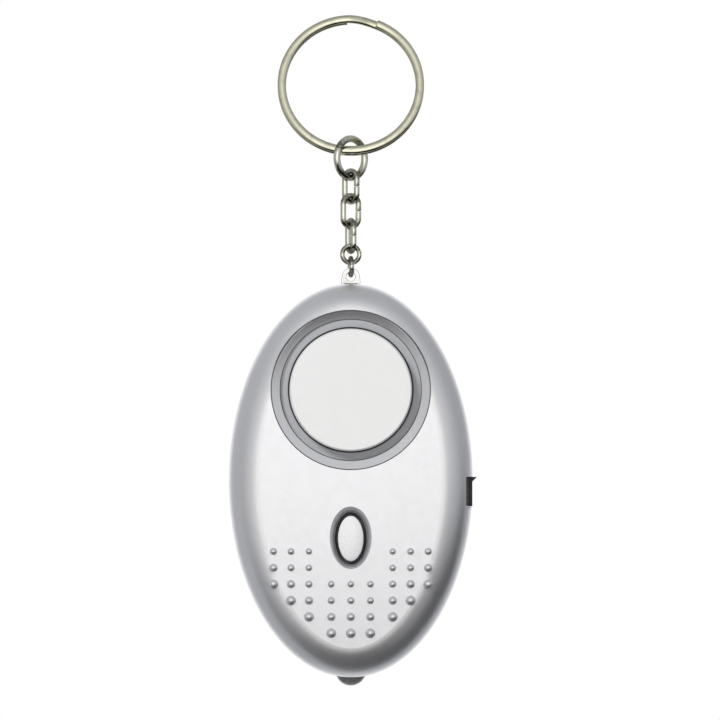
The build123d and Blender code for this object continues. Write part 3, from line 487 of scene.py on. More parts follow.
class Finish:
    """One finish: a shader with its numbers set on it, and patterns read on Object coordinates."""

    def __init__(self, slot, colour, metallic, roughness):
        self.material = bpy.data.materials.new(finish_name(slot))
        self.material.use_nodes = True
        self.nodes = self.material.node_tree.nodes
        self.links = self.material.node_tree.links
        self.shader = self.nodes["Principled BSDF"]
        self.place = self.nodes.new("ShaderNodeTexCoord").outputs["Object"]
        self.colour = (*colour, 1.0)
        self.set("Base Color", self.colour)
        self.set("Metallic", metallic)
        self.set("Roughness", roughness)

    def set(self, socket, value):
        """Sets one number or colour on the shader itself."""
        self.shader.inputs[socket].default_value = value
        return self

    def stretched(self, scale, rotation=(0.0, 0.0, 0.0)):
        """Object coordinates drawn out along an axis, for brushed or wound patterns."""
        mapping = self.nodes.new("ShaderNodeMapping")
        mapping.inputs["Scale"].default_value = scale
        mapping.inputs["Rotation"].default_value = rotation
        self.links.new(self.place, mapping.inputs["Vector"])
        return mapping.outputs["Vector"]

    def noise(self, size, detail=2.0, roughness=0.5, distortion=0.0, place=None):
        """Cloudy pattern whose features are about that size, from 0 to 1."""
        node = self.nodes.new("ShaderNodeTexNoise")
        node.inputs["Scale"].default_value = 1.0 / size
        node.inputs["Detail"].default_value = detail
        node.inputs["Roughness"].default_value = roughness
        node.inputs["Distortion"].default_value = distortion
        self.links.new(place or self.place, node.inputs["Vector"])
        return node.outputs["Fac"]

    def grains(self, size, output="Distance", randomness=1.0, place=None):
        """Cells of that size: their distance field, or a grey per cell from its colour."""
        node = self.nodes.new("ShaderNodeTexVoronoi")
        node.inputs["Scale"].default_value = 1.0 / size
        node.inputs["Randomness"].default_value = randomness
        self.links.new(place or self.place, node.inputs["Vector"])
        if output == "Distance":
            return node.outputs["Distance"]
        split = self.nodes.new("ShaderNodeSeparateColor")
        self.links.new(node.outputs["Color"], split.inputs["Color"])
        return split.outputs["Red"]

    def bands(self, size, axis, distortion=0.0, place=None):
        """Parallel ridges across an axis, from 0 to 1."""
        node = self.nodes.new("ShaderNodeTexWave")
        node.wave_type = "BANDS"
        node.bands_direction = axis
        node.inputs["Scale"].default_value = WAVE_REPEAT / size
        node.inputs["Distortion"].default_value = distortion
        self.links.new(place or self.place, node.inputs["Vector"])
        return node.outputs["Fac"]

    def spread(self, source, low, high, start=0.3, end=0.7):
        """Maps a pattern to a range of values, smoothly."""
        node = self.nodes.new("ShaderNodeMapRange")
        node.interpolation_type = "SMOOTHSTEP"
        node.inputs["From Min"].default_value = start
        node.inputs["From Max"].default_value = end
        node.inputs["To Min"].default_value = low
        node.inputs["To Max"].default_value = high
        self.links.new(source, node.inputs["Value"])
        return node.outputs["Result"]

    def tint(self, factor, first, second):
        """Base colour between two colours by a pattern."""
        colour = blended(self.nodes, self.links, factor, first, second)
        self.links.new(colour, self.shader.inputs["Base Color"])
        return self

    def axis(self, name):
        """One of the Object coordinates."""
        split = self.nodes.new("ShaderNodeSeparateXYZ")
        self.links.new(self.place, split.inputs["Vector"])
        return split.outputs[name]

    def maths(self, operation, first, second=0.0):
        """Sum, difference and the like of two patterns or numbers."""
        return maths(self.nodes, self.links, operation, first, second)

    def gloss(self, factor, low, high, start=0.3, end=0.7):
        """Roughness between two values by a pattern."""
        self.links.new(self.spread(factor, low, high, start, end), self.shader.inputs["Roughness"])
        return self

    def relief(self, *layers):
        """Bumps, one layer over another: (pattern, depth in metres, strength)."""
        under = None
        for pattern, depth, strength in layers:
            bump = self.nodes.new("ShaderNodeBump")
            bump.inputs["Distance"].default_value = depth
            bump.inputs["Strength"].default_value = strength
            self.links.new(pattern, bump.inputs["Height"])
            if under is not None:
                self.links.new(under, bump.inputs["Normal"])
            under = bump.outputs["Normal"]
        self.links.new(under, self.shader.inputs["Normal"])
        return self


def darker(colour, share):
    """A colour at a share of its brightness."""
    return tuple(channel * share for channel in colour)


def silver_paint(slot, colour, roughness, metallic):
    """Silver paint on plastic: fine flakes, soft clouds, a trace of orange peel and handling marks."""
    paint = Finish(slot, colour, metallic, roughness)
    flakes = paint.noise(0.11 * MM, 2.0)
    clouds = paint.noise(5.0 * MM, 3.0, 0.55)
    marks = paint.noise(1.3 * MM, 5.0, 0.65, 0.4)
    paint.tint(paint.spread(flakes, 0.0, 1.0, 0.2, 0.8), darker(colour, 0.955), colour)
    paint.gloss(marks, roughness - 0.01, roughness + 0.02, 0.35, 0.7)
    paint.relief(
        (clouds, 0.02 * MM, 0.01),
        (paint.noise(0.5 * MM, 2.0), 0.004 * MM, 0.07),
        (flakes, 0.0008 * MM, 0.12),
    )
    paint.set("Coat Weight", 0.15)
    paint.set("Coat Roughness", 0.18)
    return paint


def plated(slot, colour, roughness, grain, joints=()):
    """Nickel plate over bent wire: dulled spots, thin tarnish, and painted shade where the rings and links
    meet.
    """
    metal = Finish(slot, colour, 1.0, roughness)
    tarnish = metal.noise(1.6 * MM, 5.0, 0.65, 0.6)
    scuffs = metal.noise(0.35 * MM, 4.0, 0.6, 0.2)
    tarnish_and_joint_shade = metal.spread(tarnish, 0.0, 0.25, 0.45, 0.75)
    # Painted shade: darker bands at the heights where rings and links meet, where shade falls between them.
    if joints:
        height = metal.axis("Z")
        gaps = [metal.maths("ABSOLUTE", metal.maths("SUBTRACT", height, joint)) for joint in joints]
        near = gaps[0]
        for gap in gaps[1:]:
            near = metal.maths("MINIMUM", near, gap)
        near = metal.maths("ADD", near, metal.spread(scuffs, -0.35 * MM, 0.35 * MM))
        tarnish_and_joint_shade = metal.maths("MAXIMUM", tarnish_and_joint_shade, metal.spread(near, 0.8, 0.0, 0.1 * MM, 1.15 * MM))
    metal.tint(tarnish_and_joint_shade, colour, (colour[0] * 0.10, colour[1] * 0.095, colour[2] * 0.085))
    metal.gloss(scuffs, roughness * 0.7, roughness * 1.9, 0.35, 0.75)
    metal.set("Specular Tint", (0.30, 0.29, 0.24, 1.0))
    metal.relief(
        (metal.noise(0.9 * MM, 3.0, 0.55), 0.03 * MM, 0.25),
        (scuffs, 0.004 * MM, grain),
    )
    return metal


def moulded(slot, colour, roughness, texture):
    """Moulded plastic: spark-eroded texture, flow clouds and rubbed patches."""
    plastic = Finish(slot, colour, 0.0, roughness)
    clouds = plastic.noise(2.6 * MM, 3.0, 0.55)
    plastic.tint(plastic.spread(clouds, 0.0, 1.0), darker(colour, 0.9), colour)
    plastic.gloss(plastic.noise(0.8 * MM, 4.0, 0.6), roughness - 0.06, roughness + 0.1)
    plastic.relief((plastic.noise(0.16 * MM, 2.0), 0.008 * MM, texture))
    plastic.set("Specular IOR Level", 0.45)
    return plastic


def bare_metal(slot, colour, roughness, drawn=(1.0, 1.0, 1.0)):
    """Stamped or turned metal with drawing lines along an axis and small stains."""
    metal = Finish(slot, colour, 1.0, roughness)
    lines = metal.noise(0.12 * MM, 3.0, 0.6, 0.0, metal.stretched(drawn))
    stains = metal.noise(1.3 * MM, 4.0, 0.6, 0.5)
    metal.tint(metal.spread(stains, 0.0, 1.0, 0.5, 0.75), colour, darker(colour, 0.8))
    metal.gloss(lines, roughness * 0.75, roughness * 1.5)
    metal.relief((lines, 0.004 * MM, 0.3))
    return metal


def wire_cover(slot, colour):
    """Soft insulation of a hook-up wire, slightly glossy with a drawn skin."""
    cover = Finish(slot, colour, 0.0, 0.38)
    skin = cover.noise(0.3 * MM, 3.0, 0.6)
    cover.tint(cover.spread(cover.noise(1.8 * MM, 2.0), 0.0, 1.0), darker(colour, 0.8), colour)
    cover.gloss(skin, 0.3, 0.5)
    cover.relief((skin, 0.01 * MM, 0.25))
    return cover


class OBJECT_OT_alarm_finishes(bpy.types.Operator):
    """Make the finish of each material slot of the alarm"""

    bl_idname = "object.alarm_finishes"
    bl_label = "Finishes"

    def execute(self, context):
        rings = context.scene.alarm_rings
        body = context.scene.alarm_housing
        silver_paint("silver_shell", tuple(body.silver), 0.33, 0.88)
        silver_paint("silver_cap", tuple(body.cap), 0.36, 0.5)
        # The siren floor's darker grey is painted shade of its recess.
        floor = silver_paint("silver_grille", tuple(body.shaded_grille), 0.42, 0.05)
        floor.set("Coat Weight", 0.05)
        self.button(tuple(body.button))
        plated("nickel_ring", tuple(rings.nickel), 0.13, 0.25)
        # Heights where the hung rings and links meet; the chain's finish paints shade there.
        pairs = zip(HUNG_NODES, HUNG_NODES[1:])
        joints = [(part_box(over)[0].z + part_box(under)[1].z) / 2 for over, under in pairs]
        plated("nickel_chain", tuple(rings.chain_nickel), 0.15, 0.3, joints)
        plated("pin_steel", (0.78, 0.775, 0.755), 0.16, 0.2)
        self.lamp(tuple(body.lamp))
        self.film()
        moulded("bush_plastic", (0.62, 0.62, 0.60), 0.42, 0.3)
        moulded("inner_plastic", (0.045, 0.046, 0.05), 0.5, 0.5)
        moulded("plunger_plastic", (0.05, 0.05, 0.052), 0.35, 0.2)
        moulded("chip_resin", (0.018, 0.018, 0.02), 0.3, 0.35)
        bare_metal("cell_steel", (0.76, 0.75, 0.72), 0.2, (1.0, 0.15, 0.15))
        bare_metal("contact_metal", (0.83, 0.79, 0.68), 0.25, (0.1, 1.0, 1.0))
        bare_metal("screw_steel", (0.62, 0.615, 0.60), 0.24, (1.0, 0.2, 1.0))
        bare_metal("lead_metal", (0.76, 0.76, 0.75), 0.24, (1.0, 1.0, 0.1))
        bare_metal("sounder_brass", (0.79, 0.62, 0.30), 0.28, (0.15, 1.0, 1.0))
        self.board()
        self.ceramic()
        self.ferrite()
        wire_cover("red_wire", (0.55, 0.02, 0.015))
        wire_cover("black_wire", (0.02, 0.02, 0.022))
        return {"FINISHED"}

    def button(self, colour):
        """Pale hard plastic, polished by the thumb."""
        cap = Finish("white_button", colour, 0.35, 0.27)
        worn = cap.noise(1.4 * MM, 4.0, 0.6, 0.3)
        cap.tint(cap.spread(worn, 0.0, 1.0), darker(colour, 0.95), colour)
        cap.gloss(worn, 0.25, 0.33)
        cap.relief((cap.noise(0.25 * MM, 2.0), 0.006 * MM, 0.1))
        cap.set("Coat Weight", 0.3)
        cap.set("Coat Roughness", 0.08)

    def lamp(self, colour):
        """Smoky epoxy, with small bubbles and flow lines."""
        resin = Finish("lamp_resin", colour, 0.0, 0.12)
        flow = resin.noise(0.8 * MM, 3.0, 0.5, 0.6)
        resin.tint(resin.spread(flow, 0.0, 1.0), darker(colour, 0.75), colour)
        resin.gloss(resin.noise(0.4 * MM, 3.0), 0.08, 0.2)
        resin.relief((flow, 0.01 * MM, 0.2))
        resin.set("Transmission Weight", 0.35)
        resin.set("IOR", 1.52)
        resin.set("Coat Weight", 0.25)
        resin.set("Coat Roughness", 0.06)

    def film(self):
        """Black insulating film with rubbed edges and fine creases."""
        film = Finish("tab_film", (0.014, 0.014, 0.016), 0.0, 0.42)
        creases = film.noise(0.9 * MM, 4.0, 0.65, 1.2)
        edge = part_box("rear_shell")[1].x
        print_edge = film.spread(film.axis("X"), 1.0, 0.0, edge - 1.2 * MM, edge - 0.5 * MM)
        film.tint(print_edge, (0.012, 0.012, 0.014), (0.20, 0.20, 0.205))
        film.gloss(creases, 0.34, 0.55)
        film.relief((creases, 0.02 * MM, 0.3))

    def board(self):
        """Green solder resist over copper tracks, with glass weave under it."""
        board = Finish("board_resin", (0.02, 0.14, 0.05), 0.0, 0.32)
        tracks = board.grains(1.5 * MM, "Distance", 0.75)
        weave = board.bands(0.35 * MM, "X", 0.3)
        copper = board.spread(tracks, 0.0, 1.0, 0.42, 0.5)
        board.tint(copper, (0.018, 0.12, 0.045), (0.035, 0.20, 0.075))
        board.gloss(weave, 0.25, 0.38)
        board.relief((copper, 0.03 * MM, 0.5), (weave, 0.004 * MM, 0.3))
        board.set("Coat Weight", 0.3)
        board.set("Coat Roughness", 0.15)

    def ceramic(self):
        """Silvered ceramic of the sounder, grey and slightly mottled."""
        disc = Finish("sounder_ceramic", (0.66, 0.65, 0.62), 0.35, 0.45)
        mottle = disc.noise(0.5 * MM, 4.0, 0.6)
        disc.tint(disc.spread(mottle, 0.0, 1.0), (0.56, 0.55, 0.52), (0.7, 0.69, 0.66))
        disc.gloss(mottle, 0.38, 0.55)
        disc.relief((disc.noise(0.12 * MM, 2.0), 0.006 * MM, 0.4))

    def ferrite(self):
        """Dark pressed ferrite with fine pores."""
        core = Finish("coil_ferrite", (0.05, 0.05, 0.055), 0.15, 0.55)
        pores = core.noise(0.1 * MM, 3.0, 0.6)
        core.tint(core.spread(pores, 0.0, 1.0), (0.03, 0.03, 0.032), (0.075, 0.075, 0.08))
        core.gloss(pores, 0.45, 0.65)
        core.relief((pores, 0.01 * MM, 0.4))


# Pieces


class OBJECT_OT_alarm_key_ring(bpy.types.Operator):
    """Wind the key ring: two turns of strip that cross over between their cut ends"""

    bl_idname = "object.alarm_key_ring"
    bl_label = "Key ring"

    def execute(self, context):
        rings = context.scene.alarm_rings
        radius = RING_RADIUS - rings.strip / 2
        step_up = rings.wire + rings.coil_gap
        start = rings.coil_end - math.tau * rings.coil_turns
        crossing = math.tau * (2 - rings.coil_turns)
        turn = math.tau - crossing
        bm = bmesh.new()
        oval(bm, rings.strip, rings.wire, STRIP_SIDES)
        upright = Matrix.Rotation(math.radians(90), 3, "X")
        bmesh.ops.rotate(bm, verts=bm.verts, cent=(0, 0, 0), matrix=upright)
        bmesh.ops.translate(bm, verts=bm.verts, vec=(radius, 0, -step_up / 2))
        bmesh.ops.rotate(bm, verts=bm.verts, cent=(0, 0, 0), matrix=Matrix.Rotation(start, 3, "Z"))
        axis = (0, 0, 1)
        end = swept(bm, bm.faces[:], (0, 0, 0), axis, turn, COIL_STEPS)
        done = 0.0
        for stage in range(1, CROSSING_STEPS + 1):
            share = stage / CROSSING_STEPS
            eased_rise = share * share * (3 - 2 * share)
            rise = Vector((0, 0, step_up * (eased_rise - done)))
            end = swept(bm, end, (0, 0, 0), axis, crossing / CROSSING_STEPS, 1, rise)
            done = eased_rise
        swept(bm, end, (0, 0, 0), axis, turn, COIL_STEPS)
        c = math.cos(rings.tilt)
        s = math.sin(rings.tilt)
        place = turned(Vector((1, 0, 0)), Vector((0, s, c)), Vector((0, -c, s)), Vector((0, 0, 0)))
        rounded(bm, STRIP_ROUNDING)
        bmesh.ops.transform(bm, matrix=place, verts=bm.verts)
        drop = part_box("split_ring")[1].z - max(vert.co.z for vert in bm.verts)
        bmesh.ops.translate(bm, verts=bm.verts, vec=(0, 0, min(0.0, drop)))
        piece_from(bm, "key_ring_coil", "key_ring", "nickel_ring", ("split_ring",))
        return {"FINISHED"}


def round_ring(node, wire, twist, seam_at, seam):
    """A ring bent from wire, its two ends butted at a closing seam."""
    radius = span(node).z / 2 - wire / 2
    gap = seam / radius
    bm = bmesh.new()
    start = wire_end(bm, wire / 2, Vector((radius, 0, 0)))
    turn = Matrix.Rotation(seam_at + gap / 2, 3, "Z")
    bmesh.ops.rotate(bm, verts=bm.verts, cent=(0, 0, 0), matrix=turn)
    swept(bm, start, (0, 0, 0), (0, 0, 1), math.tau - gap, RING_STEPS)
    rounded(bm, wire * CUT_ROUNDING)
    place = hanging_plane(node, twist)
    return piece_from(bm, f"{node}_wire", node, "nickel_chain", (node,), place)


def oval_link(node, wire, width, twist, seam):
    """An oval link bent from wire, closed half way up one side."""
    arc = (width - wire) / 2
    rise = (span(node).z - width) / 2
    up = Vector((0, 1, 0))
    bm = bmesh.new()
    end = wire_end(bm, wire / 2, Vector((arc, seam / 2, 0)))
    end = pulled(bm, end, up * (rise - seam / 2))
    end = swept(bm, end, (0, rise, 0), (0, 0, 1), math.pi, BEND_STEPS)
    end = pulled(bm, end, up * -2 * rise)
    end = swept(bm, end, (0, -rise, 0), (0, 0, 1), math.pi, BEND_STEPS)
    pulled(bm, end, up * (rise - seam / 2))
    rounded(bm, wire * CUT_ROUNDING)
    place = hanging_plane(node, twist)
    return piece_from(bm, f"{node}_wire", node, "nickel_chain", (node,), place)


class OBJECT_OT_alarm_chain(bpy.types.Operator):
    """Bend the jump ring, the three oval links and the two small rings"""

    bl_idname = "object.alarm_chain"
    bl_label = "Chain"

    def execute(self, context):
        rings = context.scene.alarm_rings
        seam = rings.seam
        round_ring("jump_ring", rings.jump_wire, JUMP_TWIST, JUMP_SEAM, seam)
        for number, twist in enumerate(LINK_TWISTS, start=1):
            oval_link(f"link_{number}", rings.link_wire, rings.link_width, twist, seam)
        round_ring("small_ring", rings.small_wire, SMALL_TWIST, SMALL_SEAM, seam)
        round_ring("end_ring", rings.small_wire, END_TWIST, END_SEAM, seam)
        return {"FINISHED"}


class OBJECT_OT_alarm_pull_pin(bpy.types.Operator):
    """Round the edges of the pull pin's eye plate and finish its bush"""

    bl_idname = "object.alarm_pull_pin"
    bl_label = "Pull pin"

    def execute(self, context):
        edge = context.scene.alarm_housing.edge_break
        eased("pull_pin", "pull_pin_eye", "pin", "pin_steel", edge * 1.3, segments=3)
        dress("pin_bush")
        return {"FINISHED"}


class OBJECT_OT_alarm_housing(bpy.types.Operator):
    """Paint the two shells of the housing"""

    bl_idname = "object.alarm_housing"
    bl_label = "Housing"

    def execute(self, context):
        dress("front_shell", "rear_shell")
        return {"FINISHED"}


def rim_point(tree, z):
    """Point of the housing's front on its middle line, at a height."""
    return tree.ray_cast(Vector((0.0, packed_low.y - 0.01, z)), Vector((0.0, 1.0, 0.0)))[0]


def band(inner, outer, top, thickness):
    """Section of a flat ring, to be turned: its corners, the first one twice."""
    bottom = top - thickness
    return ((inner, top), (outer, top), (outer, bottom), (inner, bottom), (inner, top))


class OBJECT_OT_alarm_siren(bpy.types.Operator):
    """Lay the dark rings of painted shadow round the siren, and finish its cap, floor and sounder"""

    bl_idname = "object.alarm_siren"
    bl_label = "Siren"

    def execute(self, context):
        dress("siren_cap", "siren_grille", "siren_back_cup", "piezo_disc", "piezo_ceramic")
        body = context.scene.alarm_housing
        self.groove_painted_shadow(body)
        self.cap_painted_shadow(body)
        return {"FINISHED"}

    def groove_painted_shadow(self, body):
        """A dark ring of painted shadow in the groove, square to the slope of the housing's front there."""
        height = middle("siren_cap").z
        shell = frame["nodes"]["front_shell"].data
        tree = BVHTree.FromPolygons([v.co for v in shell.vertices], [p.vertices for p in shell.polygons])
        reach = body.groove_radius + GROOVE_SHADOW_MARGIN * body.groove_width
        top = rim_point(tree, height + reach)
        bottom = rim_point(tree, height - reach)
        level = Vector((1, 0, 0))
        up = (top - bottom).normalized()
        half = body.groove_width * GROOVE_SHADOW_SHARE
        inner = body.groove_radius - half
        outer = body.groove_radius + half
        bm = bmesh.new()
        lathed(bm, band(inner, outer, -body.groove_shadow_depth, GROOVE_SHADOW_THICKNESS))
        place = turned(level, up, level.cross(up), (top + bottom) / 2)
        piece_from(bm, "siren_groove_painted_shadow", "housing", "inner_plastic", place=place)

    def cap_painted_shadow(self, body):
        """A dark ring of painted shadow in the recess behind the siren cap's edge."""
        radius = span("siren_cap").x / 2
        bm = bmesh.new()
        lathed(bm, band(radius - CAP_SHADOW_HIDDEN, radius + body.shadow_rim, 0.0, body.felt))
        rounded(bm, CAP_SHADOW_ROUNDING)
        centre = Vector((0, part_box("siren_cap")[0].y + body.shadow_drop, middle("siren_cap").z))
        piece_from(bm, "cap_painted_shadow", "housing", "inner_plastic", place=facing_front(centre))


class OBJECT_OT_alarm_light_button(bpy.types.Operator):
    """Shape the oval light button: its crowned face on a skirt of dark plastic, which paints the shade in
    the gap round the button
    """

    bl_idname = "object.alarm_light_button"
    bl_label = "Light button"

    def execute(self, context):
        body = context.scene.alarm_housing
        low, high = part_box("light_button")
        depth = high.y - low.y
        size = (body.button_width, body.button_height)
        centre = middle("light_button")
        place = facing_front(Vector((centre.x, high.y, centre.z)))
        stem = depth - body.button_crown - body.button_face
        bm = bmesh.new()
        pulled(bm, oval(bm, high.x - low.x, high.z - low.z), (0, 0, body.button_flange))
        rounded(bm, FLANGE_ROUNDING)
        stem_faces = oval(bm, *size)
        start = body.button_flange / 2
        bmesh.ops.translate(bm, verts=stem_faces[0].verts, vec=(0, 0, start))
        pulled(bm, stem_faces, (0, 0, stem - start))
        # The skirt's dark plastic is painted shade for the gap round the button.
        piece_from(bm, "button_skirt_painted_shade", "light_button", "plunger_plastic", place=place)
        bm = bmesh.new()
        pulled(bm, oval(bm, *size), (0, 0, body.button_face))
        rounded(bm, body.edge_break, segments=3)
        face = [max(bm.faces, key=lambda f: f.calc_center_median().z)]
        crowned(bm, face, body.button_crown, CROWN_STEPS)
        bmesh.ops.translate(bm, verts=bm.verts, vec=(0, 0, stem))
        piece_from(bm, "button_face", "light_button", "white_button", ("light_button",), place)
        return {"FINISHED"}


class OBJECT_OT_alarm_lamp(bpy.types.Operator):
    """Finish the lamp at the lower end and its leads"""

    bl_idname = "object.alarm_lamp"
    bl_label = "Lamp"

    def execute(self, context):
        dress("led_lamp", "led_lead_1", "led_lead_2")
        return {"FINISHED"}


class OBJECT_OT_alarm_battery_tab(bpy.types.Operator):
    """Finish the insulating film that is pulled out before first use"""

    bl_idname = "object.alarm_battery_tab"
    bl_label = "Battery tab"

    def execute(self, context):
        dress("battery_tab")
        return {"FINISHED"}


class OBJECT_OT_alarm_back(bpy.types.Operator):
    """Round the battery door's edges and finish the screws in the back"""

    bl_idname = "object.alarm_back"
    bl_label = "Battery door and screws"

    def execute(self, context):
        edge = context.scene.alarm_housing.edge_break
        eased("battery_door", "battery_door_cover", "battery_door", "silver_shell", edge)
        dress("door_screw", "housing_screw_1", "housing_screw_2", "housing_screw_3", "housing_screw_4")
        return {"FINISHED"}


class OBJECT_OT_alarm_batteries(bpy.types.Operator):
    """Finish the button cells, their tray and their contacts"""

    bl_idname = "object.alarm_batteries"
    bl_label = "Batteries"

    def execute(self, context):
        dress("cell_1", "cell_2", "cell_3", "battery_tray", "spring_contact", "plate_contact", "power_leaf")
        return {"FINISHED"}


class OBJECT_OT_alarm_circuit(bpy.types.Operator):
    """Finish the circuit board, what is soldered to it, the pin switch and the wires"""

    bl_idname = "object.alarm_circuit"
    bl_label = "Circuit"

    def execute(self, context):
        dress(
            "circuit_board", "sound_chip", "step_up_coil", "transistor", "tact_switch", "switch_plunger",
            "board_screw_1", "board_screw_2", "switch_block", "pin_leaf_1", "pin_leaf_2",
        )
        for kind in ("siren_wire", "switch_wire", "battery_wire"):
            dress(f"{kind}_1", f"{kind}_2")
        return {"FINISHED"}


# Stage


# The studio by direction. Each lobe is a direction, the angles in degrees at which it begins and is full,
# and the light that it adds or takes away.
BASE_LIGHT = 0.37
LEAST_LIGHT = 0.015
STUDIO_LOBES = (
    ((0.0, -1.0, 0.05), 30, 3, 0.67),
    ((0.0, -1.0, 0.10), 80, 15, 0.26),
    ((0.0, -0.84, 0.54), 22, 4, 0.20),
    ((0.0, -0.42, 0.90), 30, 8, -0.08),
    ((-0.87, -0.45, 0.0), 34, 8, -0.07),
    ((0.28, -0.50, -0.82), 58, 42, -0.34),
    ((-0.30, -0.35, -0.88), 60, 15, -0.06),
    ((0.05, -0.80, -0.60), 29, 8, -0.42),
    ((0.93, 0.08, -0.36), 24, 6, -0.30),
    ((0.90, -0.08, -0.44), 28, 8, -0.18),
    ((0.68, -0.26, -0.68), 28, 8, -0.10),
    ((-0.61, -0.50, -0.61), 34, 8, -0.22),
    ((0.0, 0.45, -0.90), 35, 10, 0.12),
    ((0.0, 1.0, 0.0), 60, 20, 0.30),
)

# The light is slightly bluish except in front. Reflections see white straight behind the object.
SIDE_TONE = (0.94, 0.96, 1.0)
FRONT_TONE = (1.0, 0.99, 0.985)
TONE_LOBE = ((0.0, -1.0, 0.0), 62, 20, 1.0)
BACKDROP_LOBE = ((0.0, 1.0, 0.0), 50, 20, 1.0)

KEY_PLACE = Vector((-0.34, -0.42, HOUSING_MIDDLE + 0.42))
KEY_SIZE = 0.20
FLOOR_RADIUS = 0.30
FLOOR_WHITE = 0.72


def world_sky(world):
    """A plain soft studio by direction, and a white background where the camera looks past the object."""
    world.use_nodes = True
    tree = world.node_tree
    tree.nodes.clear()
    new = tree.nodes.new
    link = tree.links.new
    direction = new("ShaderNodeTexCoord").outputs["Generated"]

    def lobe(toward, outer, inner, amount):
        """amount inside a cone round a direction, fading to 0 at its outer angle."""
        dot = new("ShaderNodeVectorMath")
        dot.operation = "DOT_PRODUCT"
        dot.inputs[1].default_value = Vector(toward).normalized()
        link(direction, dot.inputs[0])
        ramp = new("ShaderNodeMapRange")
        ramp.interpolation_type = "SMOOTHSTEP"
        ramp.inputs["From Min"].default_value = math.cos(math.radians(outer))
        ramp.inputs["From Max"].default_value = math.cos(math.radians(inner))
        ramp.inputs["To Min"].default_value = 0.0
        ramp.inputs["To Max"].default_value = amount
        link(dot.outputs["Value"], ramp.inputs["Value"])
        return ramp.outputs["Result"]

    def reckoned(operation, first, second):
        return maths(tree.nodes, tree.links, operation, first, second)

    level = BASE_LIGHT
    for toward, outer, inner, amount in STUDIO_LOBES:
        level = reckoned("ADD", lobe(toward, outer, inner, amount), level)
    level = reckoned("MAXIMUM", level, LEAST_LIGHT)
    soft = new("ShaderNodeBackground")
    tone = blended(tree.nodes, tree.links, lobe(*TONE_LOBE), SIDE_TONE, FRONT_TONE)
    link(tone, soft.inputs["Color"])
    link(level, soft.inputs["Strength"])
    white = new("ShaderNodeBackground")
    white.inputs["Color"].default_value = (1.0, 1.0, 1.0, 1.0)
    white.inputs["Strength"].default_value = 1.0
    rays = new("ShaderNodeLightPath").outputs
    mix = new("ShaderNodeMixShader")
    behind = reckoned("MULTIPLY", rays["Is Glossy Ray"], lobe(*BACKDROP_LOBE))
    seen = reckoned("MAXIMUM", rays["Is Camera Ray"], rays["Is Transmission Ray"])
    seen = reckoned("MAXIMUM", seen, behind)
    link(seen, mix.inputs["Fac"])
    link(soft.outputs["Background"], mix.inputs[1])
    link(white.outputs["Background"], mix.inputs[2])
    output = new("ShaderNodeOutputWorld")
    link(mix.outputs["Shader"], output.inputs["Surface"])


class OBJECT_OT_alarm_stage(bpy.types.Operator):
    """Set the camera, the soft light and the pale floor"""

    bl_idname = "object.alarm_stage"
    bl_label = "Stage"

    def execute(self, context):
        scene = context.scene
        stage = scene.alarm_stage
        scene.view_settings.view_transform = "Standard"
        self.camera(scene, stage)
        world = bpy.data.worlds.new("soft_studio")
        scene.world = world
        world_sky(world)
        self.key_lamp(scene, stage)
        self.floor(scene, stage)
        return {"FINISHED"}

    def camera(self, scene, stage):
        data = bpy.data.cameras.new("photo_camera")
        data.lens = data.sensor_width * stage.camera_distance / stage.picture_width
        data.clip_start = 0.05
        data.clip_end = 10.0
        camera = bpy.data.objects.new("photo_camera", data)
        height = HOUSING_MIDDLE + stage.picture_above
        camera.location = (stage.picture_x, CHAIN_Y - stage.camera_distance, height)
        camera.rotation_euler = (math.radians(90), 0.0, 0.0)
        scene.collection.objects.link(camera)
        scene.camera = camera

    def key_lamp(self, scene, stage):
        data = bpy.data.lights.new("key_lamp", "AREA")
        data.shape = "DISK"
        data.size = KEY_SIZE
        data.energy = stage.key_power
        lamp = bpy.data.objects.new("key_lamp", data)
        lamp.location = KEY_PLACE
        aim = Vector((0.0, 0.0, HOUSING_MIDDLE)) - KEY_PLACE
        lamp.rotation_mode = "QUATERNION"
        lamp.rotation_quaternion = aim.to_track_quat("-Z", "Y")
        lamp.visible_glossy = False
        scene.collection.objects.link(lamp)

    def floor(self, scene, stage):
        bm = bmesh.new()
        bmesh.ops.create_circle(bm, cap_ends=True, segments=96, radius=FLOOR_RADIUS)
        bmesh.ops.translate(bm, verts=bm.verts, vec=(0.0, 0.0, packed_low.z - stage.floor_drop))
        mesh = bpy.data.meshes.new("floor")
        bm.to_mesh(mesh)
        bm.free()
        floor = bpy.data.objects.new("floor", mesh)
        floor.visible_glossy = False
        scene.collection.objects.link(floor)
        paper = Finish("pale_paper", (0.86, 0.86, 0.86), 0.0, 0.8)
        paper.relief((paper.noise(0.8 * MM, 3.0), 0.02 * MM, 0.2))
        glow = paper.nodes.new("ShaderNodeEmission")
        glow.inputs["Strength"].default_value = 1.0
        rays = paper.nodes.new("ShaderNodeLightPath")
        part = paper.nodes.new("ShaderNodeMath")
        part.operation = "MULTIPLY"
        part.inputs[1].default_value = FLOOR_WHITE
        paper.links.new(rays.outputs["Is Camera Ray"], part.inputs[0])
        mix = paper.nodes.new("ShaderNodeMixShader")
        paper.links.new(part.outputs["Value"], mix.inputs["Fac"])
        paper.links.new(paper.shader.outputs["BSDF"], mix.inputs[1])
        paper.links.new(glow.outputs["Emission"], mix.inputs[2])
        paper.links.new(mix.outputs["Shader"], paper.nodes["Material Output"].inputs["Surface"])
        mesh.materials.append(paper.material)


# Panel and registration

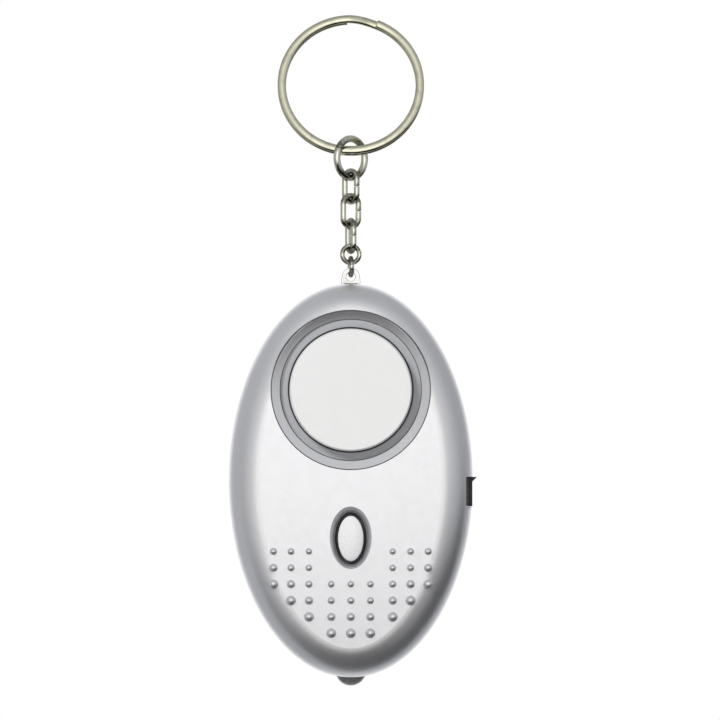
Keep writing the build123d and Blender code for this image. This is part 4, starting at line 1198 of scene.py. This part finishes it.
PIECE_OPERATORS = (
    OBJECT_OT_alarm_finishes,
    OBJECT_OT_alarm_key_ring,
    OBJECT_OT_alarm_chain,
    OBJECT_OT_alarm_pull_pin,
    OBJECT_OT_alarm_housing,
    OBJECT_OT_alarm_siren,
    OBJECT_OT_alarm_light_button,
    OBJECT_OT_alarm_lamp,
    OBJECT_OT_alarm_battery_tab,
    OBJECT_OT_alarm_back,
    OBJECT_OT_alarm_batteries,
    OBJECT_OT_alarm_circuit,
    OBJECT_OT_alarm_stage,
)

SETTINGS = (
    ("alarm_rings", AlarmRingSettings),
    ("alarm_housing", AlarmHousingSettings),
    ("alarm_stage", AlarmStageSettings),
)


class VIEW3D_PT_alarm(bpy.types.Panel):
    """Lists the alarm's settings and the pieces they make"""

    bl_idname = "VIEW3D_PT_alarm"
    bl_label = "Safety Alarm"
    bl_space_type = "VIEW_3D"
    bl_region_type = "UI"
    bl_category = "Safety Alarm"

    def draw(self, context):
        layout = self.layout
        for name, group in SETTINGS:
            box = layout.box()
            for prop in group.__annotations__:
                box.prop(getattr(context.scene, name), prop)
        for operator in PIECE_OPERATORS:
            layout.operator(operator.bl_idname)


def register():
    for name, group in SETTINGS:
        bpy.utils.register_class(group)
        setattr(bpy.types.Scene, name, bpy.props.PointerProperty(type=group))
    for operator in PIECE_OPERATORS:
        bpy.utils.register_class(operator)
    bpy.utils.register_class(VIEW3D_PT_alarm)


def unregister():
    bpy.utils.unregister_class(VIEW3D_PT_alarm)
    for operator in reversed(PIECE_OPERATORS):
        bpy.utils.unregister_class(operator)
    for name, group in reversed(SETTINGS):
        delattr(bpy.types.Scene, name)
        bpy.utils.unregister_class(group)


def main():
    register()
    bpy.ops.object.alarm_finishes()
    bpy.ops.object.alarm_key_ring()
    bpy.ops.object.alarm_chain()
    bpy.ops.object.alarm_pull_pin()
    bpy.ops.object.alarm_housing()
    bpy.ops.object.alarm_siren()
    bpy.ops.object.alarm_light_button()
    bpy.ops.object.alarm_lamp()
    bpy.ops.object.alarm_battery_tab()
    bpy.ops.object.alarm_back()
    bpy.ops.object.alarm_batteries()
    bpy.ops.object.alarm_circuit()
    bpy.ops.object.alarm_stage()


if __name__ == "__main__":
    main()
